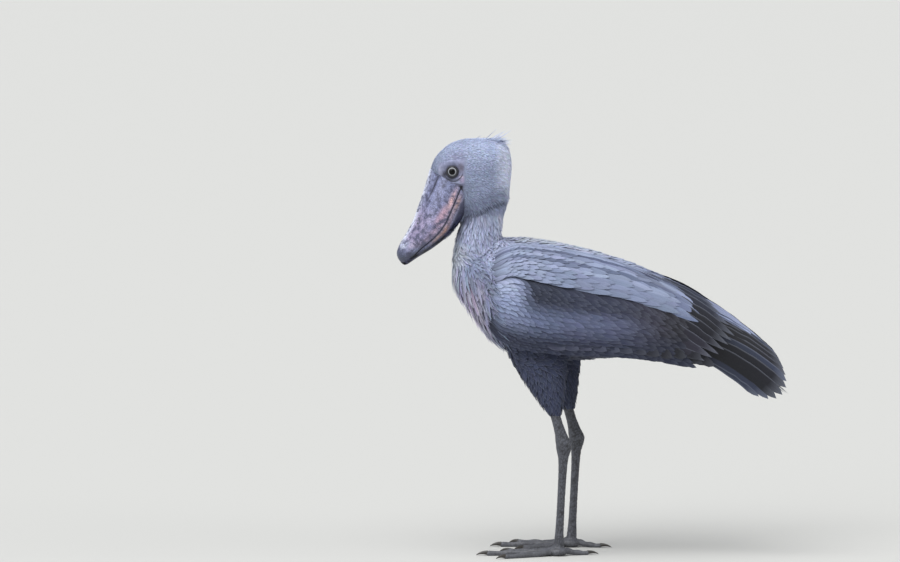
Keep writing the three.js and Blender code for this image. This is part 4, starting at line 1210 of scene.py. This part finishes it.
def wing_cover(points):
    x, y, z = points.T
    lower, _, upper = arm_turns(x)
    turn = turn_at(BED, BED_SQUARE, x, z)
    top, bottom, half = between(BED, x).T
    share = (np.abs(y) / half) ** BED_SQUARE
    share = share + (np.abs(z - (top + bottom) / 2) / ((top - bottom) / 2)) ** BED_SQUARE
    in_front = step(x, -214, -204) * step(200 - x, 0, 6)
    return in_front * (share > 0.98) * (turn > lower + 3) * (turn < upper - 6)


def places_for_coats(points):
    x, _, z = points.T
    feathered = np.maximum(in_face(points), under_horn(x, z)) < 0.4
    uncovered = 1 - wing_cover(points)
    head = (z > 722) * (x < -150) * feathered
    neck = (up_neck(x, z) > 594) * (x < -168) * (z <= 722) * (1 - head)
    thigh = z < 408
    trunk = (1 - head) * (1 - neck) * (1 - thigh) * uncovered * feathered * (z < 722)
    return {
        "head": head, "neck": neck, "trunk": trunk, "thigh": thigh * (x < 100) * uncovered,
        "breast": trunk * (x < -205) * (z < 615),
        "shoulder": uncovered * (x > -250) * (x < -194) * (z > 535) * (z < 612),
    }


down_feathers = feather_material("soft head feathers", 0.10, 0.86, 60.0, 0.75)
neck_down = feather_material("loose neck feathers", 0.25, 0.7, 60.0, 0.75)
body_feathers = feather_material("soft body feathers", 0.16, 0.62, 80.0, 0.7)
plume_feathers = feather_material("long breast plumes", 0.35, 0.72, 90.0, 0.65, "#3c3a48", 0.5)
ruffled_feathers = feather_material("ruffled shoulder feathers", 0.6, 0.4, 80.0, 0.65, "#2d3040", 0.4)


def head_length(x, y, z):
    return 9.5 + 6 * step(x, -215, -175) + 2.5 * step(760 - z, 0, 30)


def head_half(x, y, z):
    return 1.05 + 0.3 * step(x, -215, -175)


def head_lift(x, y, z):
    return 1.4 + 1.0 * step(x, -205, -172) + 2.4 * hump(z - jaw(x) - 6, 8)


def fore_body(x, z):
    return step(-x, 190, 220) * step(z, 545, 600)


def trunk_length(x, y, z):
    return 26 + 16 * step(x, -160, 0) + 12 * step(x, 60, 200) - 5 * fore_body(x, z)


def trunk_half(x, y, z):
    return 4.0 + 2.0 * step(x, -160, 40) - 1.4 * fore_body(x, z)


def trunk_lift(x, y, z):
    return 4.4 - 1.6 * fore_body(x, z)


def shoulder_lift(x, y, z):
    return 4 + 8 * step(x, -244, -216)


# Each coat: its name, where it grows, spacing of the roots, length, half breadth and lift of a feather,
# its outline, seed, material, and how it is ruffled, how thick it is and how much its colour varies.
coat(
    "head_feathers", "head", 2.12, head_length, head_half, head_lift, LOOSE, 11, down_feathers,
    {"spread": 0.12, "ruffle": 0.1, "thick": 0.14},
)
coat(
    "neck_feathers", "neck", 3.3, 22, 2.1, 3.6, LOOSE, 12, neck_down,
    {"spread": 0.11, "ruffle": 0.15, "thick": 0.25},
)
coat(
    "body_feathers", "trunk", 5.3, trunk_length, trunk_half, trunk_lift, ROUNDED, 13, body_feathers,
    {"spread": 0.09, "ruffle": 0.12, "thick": 0.35},
)
coat(
    "thigh_feathers", "thigh", 5.0, 25, 4.0, 4.6, LOOSE, 14, body_feathers,
    {"spread": 0.07, "ruffle": 0.12, "thick": 0.35},
)
coat(
    "breast_plumes", "breast", 8.2, 58, 3.9, 9.0, POINTED, 15, plume_feathers,
    {"spread": 0.16, "ruffle": 0.11, "thick": 0.45, "camber": 0.2},
)
coat(
    "shoulder_feathers", "shoulder", 6.0, 32, 2.3, shoulder_lift, LOOSE, 16, ruffled_feathers,
    {"spread": 0.16, "ruffle": 0.2, "thick": 0.35, "camber": 0.2},
)

# CREST. A loose tuft of soft narrow feathers at the back of the crown, blown up and back.
CREST_COUNT, CREST_FROM, CREST_TO = 80, -266.0, -180.0
dice = np.random.default_rng(31)
share = np.sqrt(dice.random(CREST_COUNT))
crest_x = CREST_FROM + (CREST_TO - CREST_FROM) * share
crest_y = dice.uniform(-22, 22, CREST_COUNT)
crest_roots = np.stack((crest_x, crest_y, np.full(CREST_COUNT, 900.0)), 1)
crest_roots, _, crest_faces = on_skin(crest_roots)
crest_t = POINTED[:, 0][None, :, None]
wisp = (dice.random(CREST_COUNT) < 0.2) * (crest_x > -224)
crest_long = (15 + 11 * share) * dice.uniform(0.7, 1.2, CREST_COUNT) * (1 + 0.5 * wisp)
lean = 0.14 + 0.5 * wisp + 0.16 * bell(dice, CREST_COUNT)
lean -= 0.5 * step(crest_x, -200, -178)
sway = 0.3 * crest_y / 22 + 0.16 * dice.standard_normal(CREST_COUNT)
heading = np.stack((np.ones(CREST_COUNT), sway, lean), 1)
heading /= np.linalg.norm(heading, axis=1, keepdims=True)
crest_lines = crest_roots[:, None] + heading[:, None] * crest_long[:, None, None] * crest_t
curl = dice.uniform(-7, 3, CREST_COUNT)
crest_lines[..., 2] += curl[:, None] * crest_t[..., 0] ** 2 - 1.5 * (1 - crest_t[..., 0])
crest_up = np.stack((-heading[:, 2], 0.25 * dice.standard_normal(CREST_COUNT), heading[:, 0]), 1)
crest_up /= np.linalg.norm(crest_up, axis=1, keepdims=True)
crest_halves = dice.uniform(0.7, 1.6, CREST_COUNT)[:, None] * POINTED[:, 1][None]
crest = woven(
    "crest_feathers", crest_lines, np.repeat(crest_up[:, None], len(POINTED), 1), crest_halves, 0.3,
    NARROW_RING, toned(plumage(crest_roots), dice, 0.1), unwrapped(crest_roots, crest_faces), 0.2,
)
crest.data.materials.append(down_feathers)
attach(crest, "root")

# FOLDED WINGS. Broad firm feathers in tiers, each tier over the roots of the next: small coverts from
# the bend of the wing backwards, a smooth lobe of long scapulars above, secondaries hanging below,
# and the dark tips of tertials and primaries behind. Each is a closed vane on a raised quill.
STATIONS = 15
FLIGHT_T = np.linspace(0, 1, STATIONS)
LONG_TIP = np.array([(0, 0.45), (0.35, 0.95), (0.65, 1), (0.82, 0.8), (0.93, 0.47), (0.98, 0.22), (1, 0.06)])
CURVED_TIP = np.array([(0, 0.45), (0.3, 0.9), (0.6, 1), (0.85, 0.8), (0.95, 0.48), (1, 0.08)])
SHARP_TIP = np.array([(0, 0.45), (0.35, 1), (0.65, 0.8), (0.85, 0.45), (0.95, 0.2), (1, 0.05)])


def shaped(outline, dice, count, ragged):
    widths = np.interp(FLIGHT_T, *outline.T)[None] * np.ones((count, 1))
    notch = dice.random((count, STATIONS)) < 0.12 * ragged
    return widths * (1 - 0.16 * notch * (FLIGHT_T > 0.45)) * (1 + 0.02 * dice.standard_normal(widths.shape))


def laid(side, start, bend, end, out):
    t = FLIGHT_T[None, :, None]
    path = (1 - t) ** 2 * start[:, None] + 2 * t * (1 - t) * bend[:, None] + t ** 2 * end[:, None]
    x, turn = path[..., 0].ravel(), path[..., 1].ravel()
    height = out(x.reshape(path.shape[:2]), turn.reshape(path.shape[:2]))
    lines = over_bed(BED, BED_SQUARE, x, turn, height.ravel(), side)
    above = over_bed(BED, BED_SQUARE, x, turn, height.ravel() + 1, side)
    return lines.reshape(*path.shape[:2], 3), (above - lines).reshape(*path.shape[:2], 3)


def over_arm(rise, root):
    def out(x, turn):
        base = arm_out(x.ravel(), turn.ravel()).reshape(x.shape)
        return base - root + (root + rise) * FLIGHT_T[None] ** 0.45
    return out


wing_parts = {"left": [], "right": []}
PRIMARY_TIPS = np.array([
    (0, 324, 478), (3, 386, 428), (5, 409, 394), (7, 415, 358), (8, 404, 338), (9, 384, 330),
    (10, 356, 336),
], float)  # order from the top, and where the tip lies
PRIMARIES, WING_THICK, WING_CAMBER = 15, 0.34, 0.07


def plumed(name, side, start, end, out, half, outline, colours, dice, bend=None, roll=0.0, ragged=1.0):
    start, end = np.array(start, float), np.array(end, float)
    bend = (start + end) / 2 if bend is None else np.array(bend, float)
    lines, ups = laid(side, start, bend, end, out)
    count = len(lines)
    tilt = roll + 0.05 * bell(dice, (count, 1, 1))
    ups = ups + side * tilt * upright_to(np.gradient(lines, axis=1), ups)
    ups /= np.linalg.norm(ups, axis=2, keepdims=True)
    halves = np.broadcast_to(half, (count,))[:, None] * shaped(outline, dice, count, ragged)
    roots, _, faces = on_skin(lines[:, 0])
    wing_parts[name].append((lines, ups, halves, toned(colours, dice, 0.05), unwrapped(roots, faces)))


def rows_over_arm(dice, zone_index, first, last, rows, pitch, length, wide, drop):
    start, end, half, shares = [], [], [], []
    for row in range(rows):
        x = first + pitch(first) * ((row * 0.618) % 1)
        row_end = last + dice.uniform(-26, 14)
        while x < row_end:
            share = (row + 0.5 + dice.uniform(-0.25, 0.25)) / rows
            tip = x + length(x) * dice.uniform(0.9, 1.1)
            for spots, where, sink in ((start, x, 0), (end, tip, drop)):
                edges = [value[0] for value in arm_turns(np.array([where]))]
                low, high = edges[zone_index], edges[zone_index + 1]
                spots.append((where, low + (high - low) * share - sink))
            half.append(wide(x))
            shares.append(share)
            x += pitch(x) * dice.uniform(0.85, 1.15)
    return np.array(start), np.array(end), np.array(half), np.array(shares)


def wing_piece(title, name, look):
    parts = [np.concatenate(group) for group in zip(*wing_parts[name])]
    wing_parts[name].clear()
    wing = woven(title, *parts[:3], WING_THICK, BROAD_RING, *parts[3:], WING_CAMBER)
    wing.data.materials.append(look)
    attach(wing, "root")
    return wing


covert_feathers = feather_material("smooth wing coverts", 0.06, 0.62, 150.0, 0.55, "#20222c", 0.2)
flight_feathers = feather_material("firm flight feathers", 0.16, 0.5, 150.0, 0.45, "#121319", 0.3)
WING_SEEDS = {"left": 41, "right": 42}
COVERT_RUN, SCAPULAR_RUN = (-218, 118), (-214, 94)
COVERT_ROWS, SCAPULAR_ROWS = 19, 13
TERTIALS = np.array([
    (108, 68, 262, 67), (112, 61, 276, 59), (116, 54, 292, 50), (120, 47, 304, 41), (122, 40, 298, 33),
    (118, 33, 290, 26), (114, 26, 282, 18), (106, 18, 270, 11), (98, 10, 256, 5), (90, 3, 240, 0),
], float)  # x and turn of the root, x and turn of the tip
for name, side in SIDES.items():
    dice = np.random.default_rng(WING_SEEDS[name])
    # coverts
    start, end, half, share = rows_over_arm(
        dice, 0, *COVERT_RUN, COVERT_ROWS, lambda x: 10 + 7.5 * step(x, -216, 20),
        lambda x: 32 + 62 * step(x, -216, 20), lambda x: 4.4 + 3.6 * step(x, -216, 20), 6,
    )
    roots_x = start[:, 0]
    colours = painted(
        start, "#6b7596",
        ("#8590b0", step(-roots_x, 130, 200)),
        ("#98a2bf", step(share, 0.62, 0.95) * step(-roots_x, 165, 195)),
        # painted shade: a dark band under the overhanging scapulars
        ("#181e30", step(share, 0.42, 0.8) * step(roots_x, -186, -150) * 0.97),
        ("#565a78", 0.7 * step(roots_x, -150, -60) * (1 - 0.85 * step(share, 0.45, 0.8))),
        ("#2b2a39", step(roots_x, -60, 75)),
        ("#1b1a23", step(roots_x, 45, 100)),
        # painted shade: the lower coverts darker towards the lower edge
        ("#1e2338", step(0.66 - share, 0, 0.52) * 0.94),
    )
    over = over_arm(1.5, 4.5)
    extra = (1.0 * share + dice.uniform(0, 0.6, len(share)))[:, None]
    plumed(
        name, side, start, end, lambda x, turn: over(x, turn) + extra * FLIGHT_T[None],
        half, LONG_TIP, colours, dice, roll=0.04,
    )
    # scapulars
    start, end, half, share = rows_over_arm(
        dice, 1, *SCAPULAR_RUN, SCAPULAR_ROWS, lambda x: 11 + 15 * step(x, -200, 20),
        lambda x: 40 + 116 * step(x, -200, 0), lambda x: 4.6 + 5.0 * step(x, -200, 0), 1.5,
    )
    roots_x = start[:, 0]
    strip = 0.5 + 0.5 * np.sin(2 * math.pi * (share * 4.3 + 0.2))
    streaked = dice.random(len(share)) < 0.45
    colours = painted(
        start, "#747e99",
        ("#8993ae", step(-roots_x, 110, 190)),
        ("#5f6986", step(roots_x, 30, 90)),
        ("#39425e", 0.8 * strip * step(share, 0.25, 0.55)),
        ("#939db8", 0.6 * (1 - strip) * step(share, 0.15, 0.4)),
        # painted highlight on the top row of scapulars, along the back
        ("#a0aac4", 0.7 * step(share, 0.86, 0.98)),
        ("#1f2437", 0.85 * streaked * step(share, 0.5, 0.66) * step(roots_x, -70, 20)),
    )
    extra = (3.8 - 2.8 * step(share, 0.55, 1.0) + dice.uniform(0, 0.7, len(share)))[:, None]
    plumed(
        name, side, start, end, lambda x, turn: over(x, turn) + extra * FLIGHT_T[None],
        half, LONG_TIP, colours, dice, roll=0.04, ragged=0.6,
    )
    # secondaries, in two layers
    for layer, (count, first, last, below) in enumerate(((12, -38, 262, 12), (11, -56, 232, 1))):
        tip_x = np.linspace(first, last, count) + dice.uniform(-3, 3, count)
        tip_z = between(ARM, tip_x)[:, 2] - below + 16 * step(tip_x, 170, 262)
        length, fall = 132 - 34 * layer, math.radians(26)
        root_x = tip_x - length * math.cos(fall)
        root_turn = turn_at(BED, BED_SQUARE, root_x, tip_z + length * math.sin(fall))
        tip_turn = turn_at(BED, BED_SQUARE, tip_x, tip_z)
        lift = np.arange(count)[:, None] % 2 * 0.6 + 3.0 * layer
        plumed(
            name, side, np.stack((root_x, root_turn), 1), np.stack((tip_x, tip_turn), 1),
            lambda x, turn: 1.0 + lift + (3 + 4 * layer) * FLIGHT_T[None],
            16.0 - 2 * layer, LONG_TIP,
            painted(tip_x, "#3a3d51", ("#1d1e26", step(tip_x, 40, 180))), dice,
        )
    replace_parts(wing_piece("wing_coverts_" + name, name, covert_feathers), "wing_" + name)
    # tertials
    start, end = TERTIALS[:, :2], TERTIALS[:, 2:]
    order = np.arange(len(TERTIALS))
    base = arm_out(start[:, 0], start[:, 1])[:, None]
    plumed(
        name, side, start, end,
        lambda x, turn: base - 6 + 11 * FLIGHT_T[None] ** 0.6 - 1.2 * order[:, None] * FLIGHT_T[None],
        14.0, SHARP_TIP,
        painted(order, "#2a2f40", ("#191a22", step(order, 0, 4)), ("#2b2a37", step(order, 5, 8))), dice,
    )
    # primaries
    order = np.linspace(0, 10, PRIMARIES)
    share = order / 10
    tip_x, tip_z = between(PRIMARY_TIPS, order).T
    root_x, root_z = 128 + 58 * share, 556 - 116 * share
    droop, reach = np.radians(36 + 12 * share), 88
    bend_x, bend_z = tip_x - reach * np.cos(droop), tip_z + reach * np.sin(droop)
    start, bend, end = (
        np.stack((x, turn_at(BED, BED_SQUARE, x, z)), 1)
        for x, z in ((root_x, root_z), (bend_x, bend_z), (tip_x, tip_z))
    )
    streaked = dice.random(PRIMARIES) < 0.35
    colours = painted(
        # painted highlight: the top primaries pale, as lit from above
        order, "#191a22", ("#a3add0", step(3.0 - order, 0, 2.0) * 0.9), ("#454f69", streaked * 0.4)
    )
    plumed(
        name, side, start, end, lambda x, turn: 8 - 1.35 * order[:, None] + 0 * x,
        12.0, CURVED_TIP, colours, dice, bend=bend,
    )
    wing_piece("wing_quills_" + name, name, flight_feathers)

# TAIL. Twelve broad dark feathers, folded one over another under the wing tips and drooping.
PAIRS, VANE_HALF, VANE_THICK, LAYER = 6, 15.0, 0.6, 2.2
ROOT_GAP, TIP_GAP, TIP_FROM, SHORTER = 5.4, 5.2, 5, 0.034
dice = np.random.default_rng(51)
tail_lines = []
for pair in range(PAIRS):
    for side in (-1, 1):
        high = LAYER * (PAIRS - 0.5 - (2 * pair + (side > 0)))
        root_y, tip_y = side * ROOT_GAP * (pair + 0.6), side * (TIP_FROM + TIP_GAP * pair)
        t = 0.06 + (0.94 - SHORTER * pair) * FLIGHT_T
        y = root_y + (tip_y - root_y) * FLIGHT_T
        tail_lines.append(on_tail(t, y, high * (1 - 0.25 * FLIGHT_T)))
tail_lines = np.array(tail_lines)
tail_up = on_tail(0.0, 0.0, 1.0) - on_tail(0.0, 0.0, 0.0)
widths = VANE_HALF * shaped(SHARP_TIP, dice, len(tail_lines), 1.0)
roots, _, faces = on_skin(tail_lines[:, 0])
tail = woven(
    "tail_feathers", tail_lines, np.broadcast_to(tail_up, tail_lines.shape), widths, VANE_THICK,
    BROAD_RING, toned(painted(roots, "#1c1e28"), dice, 0.06), unwrapped(roots, faces), 0.04,
)
tail.data.materials.append(flight_feathers)
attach(tail, "root")
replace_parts(tail, "tail")

# FLOOR, LIGHT AND CAMERA. A plain pale floor, a large soft light overhead and weaker ones at the
# sides, and a long lens at the level of the bird, a little above it, looking along its side.
floor_paint = material_of("pale matt floor")
surfaced(floor_paint, {"Base Color": "#c0c0bd", "Roughness": 0.9}, {})
bpy.ops.object.select_all(action="DESELECT")
bpy.ops.mesh.primitive_plane_add(size=120, location=(0, 0, 0))
floor = bpy.context.object
floor.name = "floor"
floor.data.materials.append(floor_paint)

world = bpy.data.worlds.new("studio")
bpy.context.scene.world = world
world.use_nodes = True
sky = world.node_tree.nodes["Background"]
sky.inputs["Color"].default_value = (*linear("#e8ebf0"), 1)
sky.inputs["Strength"].default_value = 0.46
LIGHTS = {
    "overhead": ((-0.30, -0.38, 1.0), 60, 3.0),
    "side": ((-0.9, -1.0, 0.6), 40, 0.8),
    "behind": ((1.0, -0.35, 0.5), 40, 0.7),
}  # from where it comes, width in degrees and strength
bpy.context.scene.view_settings.view_transform = "Standard"
for name, (place, width, power) in LIGHTS.items():
    bpy.ops.object.light_add(type="SUN", location=Vector(place) * 3)
    lamp = bpy.context.object
    lamp.name = name
    lamp.data.angle = math.radians(width)
    lamp.data.energy = power
    lamp.rotation_euler = (-Vector(place)).to_track_quat("-Z", "Y").to_euler()

MM_PER_PIXEL, WIDE, FAR, ELEVATION = 2.12, 900, 14.0, math.radians(5)
aim_at = Vector(((-297 + SHIFT[0]) / 1000, 0, 0.577))
bpy.ops.object.camera_add(
    location=aim_at + Vector((0, -FAR * math.cos(ELEVATION), FAR * math.sin(ELEVATION))),
    rotation=(math.pi / 2 - ELEVATION, 0, 0),
)
camera = bpy.context.object
camera.data.sensor_width = 36
camera.data.lens = 36 * FAR / (WIDE * MM_PER_PIXEL / 1000)
camera.data.clip_end = 200
bpy.context.scene.camera = camera
